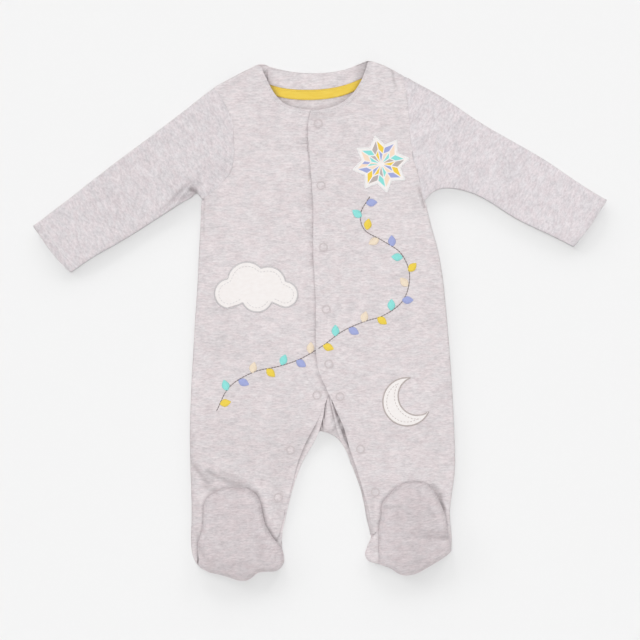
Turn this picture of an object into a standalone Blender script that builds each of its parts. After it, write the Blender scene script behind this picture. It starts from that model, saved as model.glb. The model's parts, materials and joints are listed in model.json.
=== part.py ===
"""Footed baby sleepsuit laid flat on its back, in cotton jersey, with its pieces as they are cut.

Seen from above, +Y runs up to the neck and +X to the wearer's left sleeve. The cloth rests on z = 0.
Tables and heights are in millimetres. Each piece is cut to an outline in plan, its middle surface is
lifted to a height that follows from its distance to the seams, and half the cloth is laid off to
each side of it.
"""

import math

import bmesh
import bpy
import numpy as np
from mathutils import Vector
from mathutils.geometry import delaunay_2d_cdt

MM = 0.001

# Cloth, and how it lies
CLOTH = 1.2  # jersey
TRIM = 1.0  # neck tape and applique
GAP = 0.3  # between pieces that touch
ARMHOLE_GAP = 0.45
SEAM_Z = 2.6  # where back and front meet at a side seam
SIDE_Z = 4.4  # middle of the front cloth just inside a seam
CROWN = 1.0  # what the front still rises to the middle of the body
CROWN_REACH = 70.0
FRONT_ROLL = 8.0  # width over which the front rounds down to a seam
BACK_ROLL = 4.0
LAP = CLOTH + 0.5  # one cloth lying loosely on another
LAP_FADE = 15.0
LAID_Z = 2.3  # front cloth at the open inner-leg edges
LAID_REACH = 45.0
CROTCH_Y = -86.0  # where the two fronts part
SOLE_ROLL = 7.0
TOE_PUFF = 3.9  # the sole's rise over its rim
HEEL_PUFF = 1.8
HEEL_REACH = 6.0

# Spacing of the points that a piece is cut with
EDGE_STEP = 11.0
FIELD_STEP = 15.0
FRONT_MARKS = (1.2, 3.5, 8.0)  # rows of points inside a rounded edge
BACK_MARKS = (1.2, 4.0)
SOLE_MARKS = (1.0, 3.0, 7.0)

CLOUD_POINTS = 44
STAR_AT = (66.0, 167.0)
STAR_R = 31.0
STAR_NOTCH_R = 21.0
STAR_POINTS = 8
STAR_TURN = 0.2
MOON_AT = (94.0, -90.0)
MOON_R = 26.0
MOON_BITE_R = 21.0
MOON_SHIFT = 13.0
MOON_TURN = 0.5
MOON_POINTS = 20

POPPER_R = 4.8
POPPER_H = 1.2
POPPER_SIDES = 16

CLOTH_COLOUR = (0.70, 0.66, 0.665)
TAPE_COLOUR = (0.80, 0.60, 0.08)
WHITE_COLOUR = (0.86, 0.85, 0.84)
POPPER_COLOUR = (0.72, 0.69, 0.69)


def table(columns, *rows):
    """Named columns, one row for each section or point."""
    return {name: np.array(values, float) for name, values in zip(columns.split(), zip(*rows))}


# Side seams: a row for each section from the underarms down to the ankles.
SIDES = table(
    "y right left",
    (128, -128.0, 113.5),
    (100, -129.0, 120.0),
    (74, -130.5, 127.5),
    (40, -132.0, 133.0),
    (5, -134.5, 136.5),
    (-30, -136.5, 139.5),
    (-65, -138.5, 142.0),
    (-100, -140.0, 144.0),
    (-135, -140.5, 145.5),
    (-160, -140.0, 146.0),
    (-186, -139.0, 143.0),
    (-213, -138.5, 140.0),
    (-240, -139.5, 142.5),
    (-253, -138.5, 142.0),
)
# The left front's open edge, which is the placket and then the inner leg, and the right front's,
# which hides under the left front down to the crotch: a row for each section.
FRONT_EDGES = table(
    "y left right",
    (225, -10.8, 13.0),
    (200, -14.0, 13.5),
    (167, -11.5, 14.5),
    (126, -8.5, 15.5),
    (67, -8.0, 17.0),
    (20, -5.5, 18.5),
    (-42, -4.5, 19.0),
    (-59, -2.0, 17.5),
    (-76, 6.0, 13.0),
    (-86, 11.0, 9.0),
    (-95, 15.0, 4.5),
    (-105, 19.5, 1.0),
    (-117, 25.0, -5.0),
    (-125, 27.5, -10.0),
    (-142, 31.5, -18.0),
    (-156, 37.0, -23.5),
    (-175, 42.5, -28.0),
    (-202, 50.5, -35.5),
    (-232, 56.0, -42.5),
)
# Inner-leg edges of the back, a little beyond the fronts.
BACK_LEGS = table(
    "y right left",
    (-145, -12.5, 28.7),
    (-160, -20.5, 34.5),
    (-172, -25.0, 39.5),
    (-188, -30.0, 44.5),
    (-203, -34.5, 47.8),
    (-221, -38.0, 51.2),
    (-238, -41.0, 56.0),
)
CROTCH_ARCH = table("x y", (-12.5, -145), (-6, -134), (0, -122.5), (10, -125), (19, -130.5), (28.7, -145))

NECK_BACK = table(
    "x y", (-65, 276.5), (-50, 272.3), (-34, 268.6), (-18, 266.8), (0, 266.6), (13, 267.6), (30, 271.4),
    (52, 280),
)
NECK_RIGHT = table(
    "x y", (-65, 276.5), (-61, 267), (-54, 253), (-47, 240), (-35, 231), (-20, 227.5), (13, 225)
)
NECK_LEFT = table("x y", (52, 280), (45, 259), (32, 240), (16, 230), (0, 226), (-10.8, 225))
SHOULDER_RIGHT = table("x y", (-65, 276.5), (-85, 266), (-116, 249.5))
SHOULDER_LEFT = table("x y", (52, 280), (70, 273.5), (91, 262.5))
ARMHOLE_RIGHT = table(
    "x y", (-116, 249.5), (-102, 230), (-96, 213), (-94, 197), (-94, 168), (-97.5, 156.5),
    (-106, 147), (-118, 137), (-128, 128),
)
ARMHOLE_LEFT = table("x y", (91, 262.5), (95.5, 236), (98, 199), (102.5, 170), (109, 149), (113.5, 128))
SLEEVE_RIGHT_TOP = table(
    "x y", (-116, 249.5), (-153, 220.5), (-186, 195.5), (-232, 161), (-271, 130.5), (-311, 100)
)
SLEEVE_RIGHT_UNDER = table(
    "x y", (-128, 128), (-139, 131), (-155, 122), (-187, 101.5), (-215, 84), (-246, 66.5), (-270.5, 50)
)
SLEEVE_LEFT_TOP = table("x y", (91, 262.5), (134, 239), (174, 212), (240, 174), (287, 142.5), (311, 128))
SLEEVE_LEFT_UNDER = table(
    "x y", (113.5, 128), (120, 136), (136, 142), (163, 137), (180, 129), (214, 107.5), (245.5, 92.5),
    (275.5, 78),
)
CUFF_RIGHT = table("x y", (-311, 100), (-302, 86.5), (-292.5, 73), (-282, 60.5), (-270.5, 50))
CUFF_LEFT = table("x y", (311, 128), (303.5, 115.5), (294.7, 102), (285.5, 89.5), (275.5, 78))

# The folds along the bottom of each foot: the leg's corner or the upper's flap, then the heel.
CORNER_RIGHT = table("x y", (-138.5, -253), (-135.5, -263), (-131, -268.5))
HEEL_RIGHT = table(
    "x y", (-131, -268.5), (-120, -274.5), (-108, -277), (-97, -280.5), (-84, -284), (-76, -282),
    (-69, -275.5), (-61, -273.5), (-50, -274), (-41, -269), (-39, -262), (-41.5, -250),
)
FLAP_LEFT = table("x y", (56, -238), (51, -249), (48.5, -257), (52, -262), (60.5, -264.8))
HEEL_LEFT = table(
    "x y", (63, -265.5), (69, -267.5), (77, -270), (85, -276), (92, -278), (105, -275.5),
    (115, -270), (128, -262.5), (139, -255), (142, -253),
)
# The soles' other edges, lying on the shins: up from one ankle, over the toes, down to the other.
TOE_RIGHT = table(
    "x y", (-41.5, -250), (-54, -233.5), (-60.5, -221.5), (-63, -209.5), (-66, -195.5), (-73.5, -187),
    (-82, -183.5), (-101, -183.5), (-113, -188), (-121.5, -194), (-125.5, -201), (-125.5, -221.5),
    (-127.5, -231), (-131, -242), (-131, -268.5),
)
TOE_LEFT = table(
    "x y", (142, -253), (140.5, -243), (138.8, -235), (137, -226), (135, -213), (128, -197.5), (123.5, -188),
    (117, -180.5), (110, -177.5), (94, -178), (83.5, -183), (71.5, -194.5), (67.5, -200), (67, -213),
    (64.5, -225), (64, -254), (63, -265.5),
)
# Under the soles: where the front of each leg ends, and where the upper ends short of the heel.
ANKLE_RIGHT = table(
    "x y", (-132.4, -264.5), (-132.4, -257), (-130, -252), (-112, -264), (-85, -272), (-62, -262), (-44, -236)
)
ANKLE_LEFT = table("x y", (54.6, -224), (68, -246), (92, -264), (118, -256), (134, -247), (141.4, -245.5))
INSTEP_RIGHT = table("x y", (-128, -246), (-112, -262), (-86, -270), (-66, -260), (-54, -240))
INSTEP_LEFT = table(
    "x y", (61.9, -265), (61.9, -260.5), (65, -255), (78, -259), (92, -266), (116, -258), (133, -240)
)

POPPERS = table(
    "x y",
    (-2.0, 211), (1.0, 144), (3.5, 77), (6.5, 10), (9.5, -49),
    (-3.5, -83), (-32, -142.5), (-45.5, -194),
    (21.5, -84.5), (44, -141.5), (60, -188),
)

# The facing inside the back neck, and the tape under it: a row for each section across.
NECK_SECTIONS = table(
    "x top middle bottom",
    (-57, 270.5, 254.0, 243.5),
    (-46, 269.6, 250.5, 240.5),
    (-33, 267.0, 248.3, 238.0),
    (-12, 265.3, 247.5, 236.8),
    (12, 266.2, 249.3, 238.6),
    (30, 270.0, 253.5, 243.0),
    (46, 275.2, 260.0, 251.0),
)

# The round lobes of the cloud.
CLOUD = table(
    "x y r",
    (-98, 27, 16),
    (-79, 40, 21),
    (-56, 37, 19),
    (-38, 26, 14),
    (-68, 24, 17),
)

# Soft rolls of the front cloth: from one end to the other, half width and rise.
ROLLS = table(
    "x1 y1 x2 y2 width rise",
    (-112, 150, -84, 118, 14, 0.6),
    (100, 150, 74, 120, 14, 0.5),
    (-200, 150, -178, 118, 14, 0.6),
    (196, 168, 180, 140, 14, 0.5),
)


class Curve:
    """A smooth line through a table's points, measured in millimetres along it."""

    def __init__(self, rows):
        self.points = np.stack([rows["x"], rows["y"]], axis=1)
        self.marks = np.concatenate([[0], np.cumsum(np.linalg.norm(np.diff(self.points, axis=0), axis=1))])
        self.length = self.marks[-1]

    def at(self, mark):
        return np.stack([smooth(self.marks, axis, mark) for axis in self.points.T], axis=-1)

    def stepped(self, step):
        return self.at(np.linspace(0, self.length, max(2, round(self.length / step) + 1)))


def smooth(marks, values, mark):
    """A curve through the values that doesn't swing past them."""
    rise = np.diff(values) / np.diff(marks)
    slopes = np.concatenate([rise[:1], (rise[1:] + rise[:-1]) / 2, rise[-1:]])
    slopes[1:-1][rise[1:] * rise[:-1] <= 0] = 0
    mark = np.clip(np.asarray(mark, float), marks[0], marks[-1])
    k = np.clip(np.searchsorted(marks, mark, side="right") - 1, 0, len(marks) - 2)
    span = marks[k + 1] - marks[k]
    t = (mark - marks[k]) / span
    return (
        (2 * t**3 - 3 * t**2 + 1) * values[k]
        + (t**3 - 2 * t**2 + t) * span * slopes[k]
        + (3 * t**2 - 2 * t**3) * values[k + 1]
        + (t**3 - t**2) * span * slopes[k + 1]
    )


def column(rows, name):
    """x of a named column at any height y, for a table whose rows run downwards."""
    return lambda y: smooth(rows["y"][::-1], rows[name][::-1], y)


side_right = column(SIDES, "right")
side_left = column(SIDES, "left")
left_edge = column(FRONT_EDGES, "left")
right_edge = column(FRONT_EDGES, "right")


def down(edge, top, bottom, step=EDGE_STEP):
    """Points down an edge that is given by its x at each height, or up it where bottom is higher."""
    heights = np.linspace(top, bottom, max(2, round(abs(top - bottom) / step) + 1))
    return np.stack([edge(heights), heights], axis=1)


def joined(*stretches):
    """One line from several that meet end to end."""
    points = np.concatenate(stretches)
    keep = np.concatenate([[True], np.linalg.norm(np.diff(points, axis=0), axis=1) > 1e-6])
    return points[keep]


def loop(*stretches):
    """The same, closed: the last point gives way to the first."""
    points = joined(*stretches)
    return points[:-1] if np.linalg.norm(points[0] - points[-1]) < 1e-6 else points


class Edge:
    """Lines that cloth rounds over or ends at, with the garment on their left."""

    def __init__(self, *lines):
        self.start = np.concatenate([points[:-1] for points in lines])
        along = np.concatenate([np.diff(points, axis=0) for points in lines])
        self.along = along
        self.length2 = (along**2).sum(axis=1)
        self.outward = np.stack([along[:, 1], -along[:, 0]], axis=1) / np.sqrt(self.length2)[:, None]

    def away(self, plan):
        offset = plan[:, None, :] - self.start[None]
        share = np.clip((offset * self.along).sum(axis=2) / self.length2, 0, 1)
        return np.linalg.norm(offset - share[..., None] * self.along, axis=2)

    def distance(self, plan):
        return self.away(plan).min(axis=1)

    def outside(self, plan, within=2.5):
        """Out of the garment, averaged over the stretch of edge close by, so that corners are shared."""
        weight = np.clip(1 - self.away(plan) / within, 0, 1) * np.sqrt(self.length2)
        direction = weight @ self.outward
        return direction / np.linalg.norm(direction, axis=1)[:, None]


FINE = 1.0
SEAMS = Edge(
    joined(Curve(SLEEVE_LEFT_TOP).stepped(FINE)[::-1], Curve(SHOULDER_LEFT).stepped(FINE)[::-1]),
    joined(Curve(SHOULDER_RIGHT).stepped(FINE), Curve(SLEEVE_RIGHT_TOP).stepped(FINE)),
    joined(
        Curve(SLEEVE_RIGHT_UNDER).stepped(FINE)[::-1],
        down(side_right, 128, -253, FINE),
        Curve(CORNER_RIGHT).stepped(FINE),
        Curve(HEEL_RIGHT).stepped(FINE),
    ),
    joined(
        Curve(FLAP_LEFT).stepped(FINE),
        Curve(HEEL_LEFT).stepped(FINE),
        down(side_left, -253, 128, FINE),
        Curve(SLEEVE_LEFT_UNDER).stepped(FINE),
    ),
)
HEELS = Edge(Curve(HEEL_RIGHT).stepped(FINE), Curve(HEEL_LEFT).stepped(FINE))
INNER_LEGS = Edge(down(right_edge, CROTCH_Y, -232, FINE), down(left_edge, CROTCH_Y, -232, FINE))
SOLE_RIGHT = loop(Curve(HEEL_RIGHT).stepped(EDGE_STEP / 2), Curve(TOE_RIGHT).stepped(EDGE_STEP / 2))
SOLE_LEFT = loop(Curve(HEEL_LEFT).stepped(EDGE_STEP / 2), Curve(TOE_LEFT).stepped(EDGE_STEP / 2))


def closed_edge(points):
    return Edge(np.concatenate([points, points[:1]]))


def quarter(share):
    """A quarter round: 0 at the edge, where it stands upright, and 1 past its width."""
    return np.sqrt(1 - (1 - np.clip(share, 0, 1)) ** 2)


def ease(share):
    share = np.clip(share, 0, 1)
    return share * share * (3 - 2 * share)


def along_segment(plan, start, end):
    """Distance of each plan point from a straight stretch."""
    along = end - start
    share = np.clip(((plan - start) @ along) / (along @ along), 0, 1)
    return np.linalg.norm(plan - start - share[:, None] * along, axis=1)


def top_of_body(plan, distance):
    height = SIDE_Z + CROWN * ease(distance / CROWN_REACH)
    for x1, y1, x2, y2, width, rise in zip(*ROLLS.values()):
        height += rise * (1 - ease(along_segment(plan, np.array([x1, y1]), np.array([x2, y2])) / width))
    return height


def sleeve_over(plan):
    distance = SEAMS.distance(plan)
    return SEAM_Z + (top_of_body(plan, distance) - SEAM_Z) * quarter(distance / FRONT_ROLL)


def sleeve_under(plan):
    return CLOTH / 2 + (SEAM_Z - CLOTH / 2) * (1 - quarter(SEAMS.distance(plan) / BACK_ROLL))


def back_height(plan):
    rim = SEAM_Z - GAP / 2
    return CLOTH / 2 + (rim - CLOTH / 2) * (1 - quarter(SEAMS.distance(plan) / BACK_ROLL))


def front_height(plan):
    """Middle of a front: its seam, roll and crown, and the dip to the open inner-leg edges."""
    distance = SEAMS.distance(plan)
    rim = SEAM_Z + GAP / 2
    full = rim + (top_of_body(plan, distance) - rim) * quarter(distance / FRONT_ROLL)
    laid = rim + (LAID_Z - rim) * ease(distance / FRONT_ROLL)
    return laid + (full - laid) * ease(INNER_LEGS.distance(plan) / LAID_REACH)


def left_front_height(plan):
    """The left front steps over the right front's hidden edge, and down again past it."""
    past = plan[:, 0] - right_edge(np.maximum(plan[:, 1], CROTCH_Y))
    over = 1 - ease((past - 3) / LAP_FADE)
    return front_height(plan) + LAP * over * ease((plan[:, 1] + 115) / 24)


def upper_height(plan):
    return front_height(plan) + LAP * quarter(2 * SEAMS.distance(plan) / FRONT_ROLL)


def sole_height(outline):
    """The sole stands on the upper, rounds over at its rim, and comes down to the seam at the heel."""
    edge = closed_edge(outline)

    def height(plan):
        low = SEAM_Z + GAP / 2
        rim = low + (upper_height(plan) + CLOTH / 2 + GAP - low) * ease(HEELS.distance(plan) / HEEL_REACH)
        puff = HEEL_PUFF + (TOE_PUFF - HEEL_PUFF) * ease((plan[:, 1] + 265) / 40)
        return rim + puff * quarter(edge.distance(plan) / SOLE_ROLL)

    return height


def upright(plan, height, rounded, roll):
    """The way out of the cloth: by its slope, or level where it rounds over a seam."""
    step = np.array([0.1, 0.0])
    slope = [(height(plan + d) - height(plan - d)) / 0.2 for d in (step, step[::-1])]
    up = np.stack([-slope[0], -slope[1], np.ones(len(plan))], axis=1)
    up /= np.linalg.norm(up, axis=1)[:, None]
    if rounded is not None:
        at_rim = rounded.distance(plan) < 0.3
        up[at_rim] = 0
        up[at_rim, :2] = roll * rounded.outside(plan[at_rim])
    return up


def inside(plan, outline):
    """Which plan points lie inside a closed outline."""
    x, y = plan[:, 0, None], plan[:, 1, None]
    (x1, y1), (x2, y2) = outline.T, np.roll(outline, -1, axis=0).T
    crosses = (y1 > y) != (y2 > y)
    safe = np.where(y2 == y1, 1, y2 - y1)
    return (crosses & (x < (x2 - x1) * (y - y1) / safe + x1)).sum(axis=1) % 2 == 1


def cut(outline, rounded=None, marks=(), step=FIELD_STEP, traced=()):
    """A piece in plan: its outline, rows of points inside each rounded edge, and an even field.

    The field is the same for all pieces, so that those on each other bend alike. The outlines of
    what is sewn on a piece are traced into it.
    """
    border = closed_edge(outline)
    points = [outline, *traced]
    if rounded is not None:
        rims = outline[rounded.distance(outline) < 0.3]
        for mark in marks:
            row = rims - mark * rounded.outside(rims)
            kept = (rounded.distance(row) > 0.9 * mark) & (border.distance(row) > 0.6 * mark)
            points.append(row[kept & inside(row, outline)])
    low, high = outline.min(axis=0) // step - 1, outline.max(axis=0) // (step * 0.87) + 2
    field = np.array([
        (step * (x + row % 2 / 2), step * 0.87 * row)
        for row in np.arange(low[1], high[1])
        for x in np.arange(low[0], high[0])
    ])
    near = np.concatenate(points)
    clear = np.linalg.norm(field[:, None] - near[None], axis=2).min(axis=1) > 0.6 * step
    field = field[inside(field, outline) & clear]
    points = np.concatenate([near, field[border.distance(field) > 0.45 * step]])
    traces = []
    first = len(outline)
    for line in traced:
        traces += [(first + k, first + (k + 1) % len(line)) for k in range(len(line))]
        first += len(line)
    found = delaunay_2d_cdt(
        [Vector(point) for point in points], traces, [list(range(len(outline)))], 1, 1e-4
    )
    return np.array([tuple(point) for point in found[0]]), [list(face) for face in found[2]]


def material(name, colour, roughness=0.9, metallic=0.0):
    made = bpy.data.materials.new(name)
    made.use_nodes = True
    shader = made.node_tree.nodes["Principled BSDF"]
    shader.inputs["Base Color"].default_value = (*colour, 1.0)
    shader.inputs["Roughness"].default_value = roughness
    shader.inputs["Metallic"].default_value = metallic
    return made


def smooth_mesh(name, shape, finish):
    """A closed bmesh in millimetres as a mesh in metres."""
    bmesh.ops.recalc_face_normals(shape, faces=shape.faces)
    bmesh.ops.scale(shape, vec=(MM, MM, MM), verts=shape.verts)
    mesh = bpy.data.meshes.new(name)
    shape.to_mesh(mesh)
    shape.free()
    mesh.shade_smooth()
    mesh.set_sharp_from_angle(angle=math.radians(50))
    mesh.materials.append(finish)
    return mesh


def wall(name, points, up, faces, finish, thickness=CLOTH):
    """A wall to both sides of a middle surface, closed along its free edges."""
    shape = bmesh.new()
    over = [shape.verts.new(place) for place in points + up * thickness / 2]
    under = [shape.verts.new(place) for place in points - up * thickness / 2]
    free = set()
    for face in faces:
        shape.faces.new([over[k] for k in face])
        shape.faces.new([under[k] for k in reversed(face)])
        for a, b in zip(face, face[1:] + face[:1]):
            free ^= {(min(a, b), max(a, b))}
    for a, b in sorted(free):
        shape.faces.new([over[a], over[b], under[b], under[a]])
    made = bpy.data.objects.new(name, smooth_mesh(name, shape, finish))
    bpy.context.scene.collection.objects.link(made)


def sheet(name, outline, height, finish, rounded=SEAMS, marks=FRONT_MARKS, roll=1, step=FIELD_STEP,
          thickness=CLOTH, sewn_on=(), traced=()):
    """One cloth, and the applique on it, which is made from the cloth's own points, moved out."""
    plan, faces = cut(outline, rounded, marks, step, [line for _, line, _ in sewn_on] + list(traced))
    points = np.column_stack([plan, height(plan)])
    up = upright(plan, height, rounded, roll)
    wall(name, points, up, faces, finish, thickness)
    centres = np.array([plan[face].mean(axis=0) for face in faces])
    for label, line, colour in sewn_on:
        chosen = [faces[k] for k in np.flatnonzero(inside(centres, line))]
        used = sorted({k for face in chosen for k in face})
        renumbered = {k: n for n, k in enumerate(used)}
        lifted = points[used] + up[used] * (thickness / 2 + GAP + TRIM / 2)
        chosen = [[renumbered[k] for k in face] for face in chosen]
        wall(label, lifted, up[used], chosen, colour, TRIM)


def tube(name, outline, finish):
    """A sleeve pressed flat: an upper and an under cloth that are one along the sleeve's two edges."""
    plan, faces = cut(outline, SEAMS, FRONT_MARKS)
    shared = SEAMS.distance(plan) < 0.3
    twin = np.arange(len(plan))
    twin[~shared] = len(plan) + np.arange((~shared).sum())
    below = plan[~shared]
    points = np.concatenate([
        np.column_stack([plan, sleeve_over(plan)]), np.column_stack([below, sleeve_under(below)])
    ])
    points[: len(plan)][shared, 2] = SEAM_Z
    up = np.concatenate([upright(plan, sleeve_over, SEAMS, 1), -upright(below, sleeve_under, None, 1)])
    faces = faces + [[int(twin[k]) for k in reversed(face)] for face in faces]
    wall(name, points, up, faces, finish)


def armhole(rows):
    """Points down an armhole, close together at the shoulder and at the underarm, as all its pieces share."""
    curve = Curve(rows)
    ends = np.array([0.0, *FRONT_MARKS])
    middle = np.linspace(ends[-1], curve.length - ends[-1], 10)[1:-1]
    return curve.at(np.concatenate([ends, middle, curve.length - ends[::-1]]))


def moved_off(line, gap):
    """The same line, moved to its left by the gap."""
    along = np.gradient(line, axis=0)
    left = np.stack([-along[:, 1], along[:, 0]], axis=1)
    return line + gap * left / np.linalg.norm(left, axis=1)[:, None]


def stepped(rows, step=EDGE_STEP):
    return Curve(rows).stepped(step)


def back_outline():
    """Round the back, with the cloth on the left: neck, right side, legs and crotch, left side."""
    return loop(
        stepped(NECK_BACK)[::-1], stepped(SHOULDER_RIGHT), armhole(ARMHOLE_RIGHT),
        down(side_right, 128, -253), stepped(CORNER_RIGHT), stepped(HEEL_RIGHT, EDGE_STEP / 2),
        down(column(BACK_LEGS, "right"), -238, -145), stepped(CROTCH_ARCH, EDGE_STEP / 2),
        down(column(BACK_LEGS, "left"), -145, -238), stepped(FLAP_LEFT, EDGE_STEP / 2),
        stepped(HEEL_LEFT, EDGE_STEP / 2), down(side_left, -253, 128),
        armhole(ARMHOLE_LEFT)[::-1], stepped(SHOULDER_LEFT)[::-1],
    )


def front_right_outline():
    return loop(
        stepped(NECK_RIGHT)[::-1], stepped(SHOULDER_RIGHT), armhole(ARMHOLE_RIGHT),
        down(side_right, 128, -253), Curve(CORNER_RIGHT).at([5, 10, 14.5]), stepped(ANKLE_RIGHT),
        down(right_edge, -232, 224),
    )


def front_left_outline():
    return loop(
        stepped(NECK_LEFT), down(left_edge, 224, -218), stepped(ANKLE_LEFT),
        down(side_left, -244, 128), armhole(ARMHOLE_LEFT)[::-1], stepped(SHOULDER_LEFT)[::-1],
    )


def sleeve_right_outline():
    seam = moved_off(armhole(ARMHOLE_RIGHT), -ARMHOLE_GAP)
    over, under = stepped(SLEEVE_RIGHT_TOP)[1:], stepped(SLEEVE_RIGHT_UNDER)[:0:-1]
    return loop(seam[::-1], over, stepped(CUFF_RIGHT), under)


def sleeve_left_outline():
    seam = moved_off(armhole(ARMHOLE_LEFT), ARMHOLE_GAP)
    over, under = stepped(SLEEVE_LEFT_TOP)[:0:-1], stepped(SLEEVE_LEFT_UNDER)[1:]
    return loop(seam, under, stepped(CUFF_LEFT)[::-1], over)


def between(outline, start, end):
    """The stretch of a closed outline from the point nearest one place to that nearest another."""
    first = np.linalg.norm(outline - start, axis=1).argmin()
    last = np.linalg.norm(outline - end, axis=1).argmin()
    return np.roll(outline, -first, axis=0)[: (last - first) % len(outline) + 1]


def upper_right_outline():
    toe = between(SOLE_RIGHT, (-54, -233.5), (-131, -242))
    return loop(toe, stepped(INSTEP_RIGHT))


def upper_left_outline():
    toe = between(SOLE_LEFT, (138.5, -237), (64.5, -225))
    return loop(toe, stepped(FLAP_LEFT, EDGE_STEP / 2), stepped(INSTEP_LEFT))


def cloud():
    """The outer line of several round lobes, seen from their middle."""
    x, y, r = (CLOUD[name] for name in ("x", "y", "r"))
    centre = np.array([x.mean(), y.mean() - 4])
    turns = np.linspace(0, math.tau, CLOUD_POINTS, endpoint=False)
    ray = np.stack([np.cos(turns), np.sin(turns)], axis=1)
    across = ray @ np.stack([x - centre[0], y - centre[1]])
    apart2 = (x - centre[0]) ** 2 + (y - centre[1]) ** 2 - across**2
    reach = across + np.sqrt(np.maximum(r**2 - apart2, 0))
    reach[apart2 > r**2] = 0
    return centre + ray * reach.max(axis=1)[:, None]


def star():
    turns = np.linspace(0, math.tau, 2 * STAR_POINTS, endpoint=False) + STAR_TURN
    reach = np.where(np.arange(2 * STAR_POINTS) % 2 == 0, STAR_R, STAR_NOTCH_R)
    return np.array(STAR_AT) + np.stack([np.cos(turns), np.sin(turns)], axis=1) * reach[:, None]


def moon():
    """A disc with a smaller disc bitten out of it: from horn to horn outside, and back inside."""
    apart = MOON_SHIFT
    horn_x = (MOON_R**2 - MOON_BITE_R**2 + apart**2) / (2 * apart)
    horn_y = math.sqrt(MOON_R**2 - horn_x**2)
    outer = math.atan2(horn_y, horn_x)
    inner = math.atan2(horn_y, horn_x - apart)
    out = np.linspace(outer, math.tau - outer, MOON_POINTS)
    back = np.linspace(math.tau - inner, inner, MOON_POINTS * 2 // 3)[1:-1]
    line = np.concatenate([
        MOON_R * np.stack([np.cos(out), np.sin(out)], axis=1),
        MOON_BITE_R * np.stack([np.cos(back), np.sin(back)], axis=1) + (apart, 0),
    ])
    cos, sin = math.cos(MOON_TURN), math.sin(MOON_TURN)
    turn = np.array([[cos, sin], [-sin, cos]])
    return np.array(MOON_AT) + line @ turn


def neck_strip(upper, lower, gap):
    """A strip across the back neck between two columns of the neck's sections."""
    x = NECK_SECTIONS["x"]
    below = table("x y", *zip(x, NECK_SECTIONS[lower] + gap))
    above = table("x y", *zip(x, NECK_SECTIONS[upper]))
    return loop(stepped(below), stepped(above)[::-1])


def neck_height(plan):
    return back_height(plan) + CLOTH + GAP


def ring_of_points(x, y, radius):
    turns = np.linspace(0, math.tau, 8, endpoint=False)
    return np.stack([x + radius * np.cos(turns), y + radius * np.sin(turns)], axis=1)


def popper_places():
    """Each popper's place, and the front it is set in."""
    return [(x, y, "left" if x > float(left_edge(y)) else "right") for x, y in zip(*POPPERS.values())]


def popper_rings(side):
    return [ring_of_points(x, y, POPPER_R + 1) for x, y, front in popper_places() if front == side]


def popper(name, mesh, x, y, height):
    """Sets a popper square on the cloth, on the highest of the points round it."""
    plan = np.concatenate([[[x, y]], ring_of_points(x, y, POPPER_R + 1)])
    level = np.column_stack([plan - (x, y), np.ones(len(plan))])
    tops = height(plan)
    tilt_x, tilt_y, middle = np.linalg.lstsq(level, tops, rcond=None)[0]
    clear = (tops - level @ (tilt_x, tilt_y, middle)).max()
    up = Vector((-tilt_x, -tilt_y, 1)).normalized()
    made = bpy.data.objects.new(name, mesh)
    bpy.context.scene.collection.objects.link(made)
    made.location = (Vector((x, y, middle + clear)) + up * (CLOTH / 2 + GAP)) * MM
    made.rotation_euler = up.to_track_quat("Z", "Y").to_euler()


def poppers(finish):
    """Ring caps with a dished middle, turned from a profile."""
    profile = [
        (0, 0), (POPPER_R - 0.3, 0), (POPPER_R, 0.4), (POPPER_R - 0.5, POPPER_H),
        (POPPER_R - 1.6, POPPER_H), (POPPER_R - 2.1, 0.7), (0, 0.9),
    ]
    shape = bmesh.new()
    verts = [shape.verts.new((r, 0, z)) for r, z in profile]
    edges = [shape.edges.new(pair) for pair in zip(verts, verts[1:])]
    bmesh.ops.spin(
        shape, geom=verts + edges, cent=(0, 0, 0), axis=(0, 0, 1), angle=math.tau, steps=POPPER_SIDES,
        use_merge=True,
    )
    bmesh.ops.remove_doubles(shape, verts=shape.verts, dist=0.01)
    mesh = smooth_mesh("popper", shape, finish)
    heights = {"left": left_front_height, "right": front_height}
    for k, (x, y, front) in enumerate(popper_places(), start=1):
        popper(f"popper_{k:02d}", mesh, x, y, heights[front])


def main():
    for thing in list(bpy.data.objects):
        bpy.data.objects.remove(thing, do_unlink=True)
    grey = material("jersey", CLOTH_COLOUR)
    yellow = material("neck_tape", TAPE_COLOUR)
    white = material("applique", WHITE_COLOUR)
    sheet("back", back_outline(), back_height, grey, marks=BACK_MARKS, roll=-1, step=40)
    sewn_right = [("applique_cloud", cloud(), white)]
    sewn_left = [("applique_star", star(), white), ("applique_moon", moon(), white)]
    sheet(
        "front_right", front_right_outline(), front_height, grey, sewn_on=sewn_right,
        traced=popper_rings("right"),
    )
    sheet(
        "front_left", front_left_outline(), left_front_height, grey, sewn_on=sewn_left,
        traced=popper_rings("left"),
    )
    tube("sleeve_right", sleeve_right_outline(), grey)
    tube("sleeve_left", sleeve_left_outline(), grey)
    sheet("foot_upper_right", upper_right_outline(), upper_height, grey)
    sheet("foot_upper_left", upper_left_outline(), upper_height, grey)
    for side, outline in (("right", SOLE_RIGHT), ("left", SOLE_LEFT)):
        sheet(f"foot_sole_{side}", outline, sole_height(outline), grey, closed_edge(outline), SOLE_MARKS)
    sheet("neck_band", neck_strip("top", "middle", GAP), neck_height, grey, rounded=None)
    sheet("neck_tape", neck_strip("middle", "bottom", 0), neck_height, yellow, rounded=None, thickness=TRIM)
    poppers(material("popper", POPPER_COLOUR, 0.35))


main()
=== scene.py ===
"""Finish of the footed baby sleepsuit: soft marl jersey, seams, poppers and embroidery, on a table."""

import json
import math

import bmesh
import bpy
import numpy as np
from mathutils import Matrix, Vector
from mathutils.bvhtree import BVHTree
from mathutils.kdtree import KDTree

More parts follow.
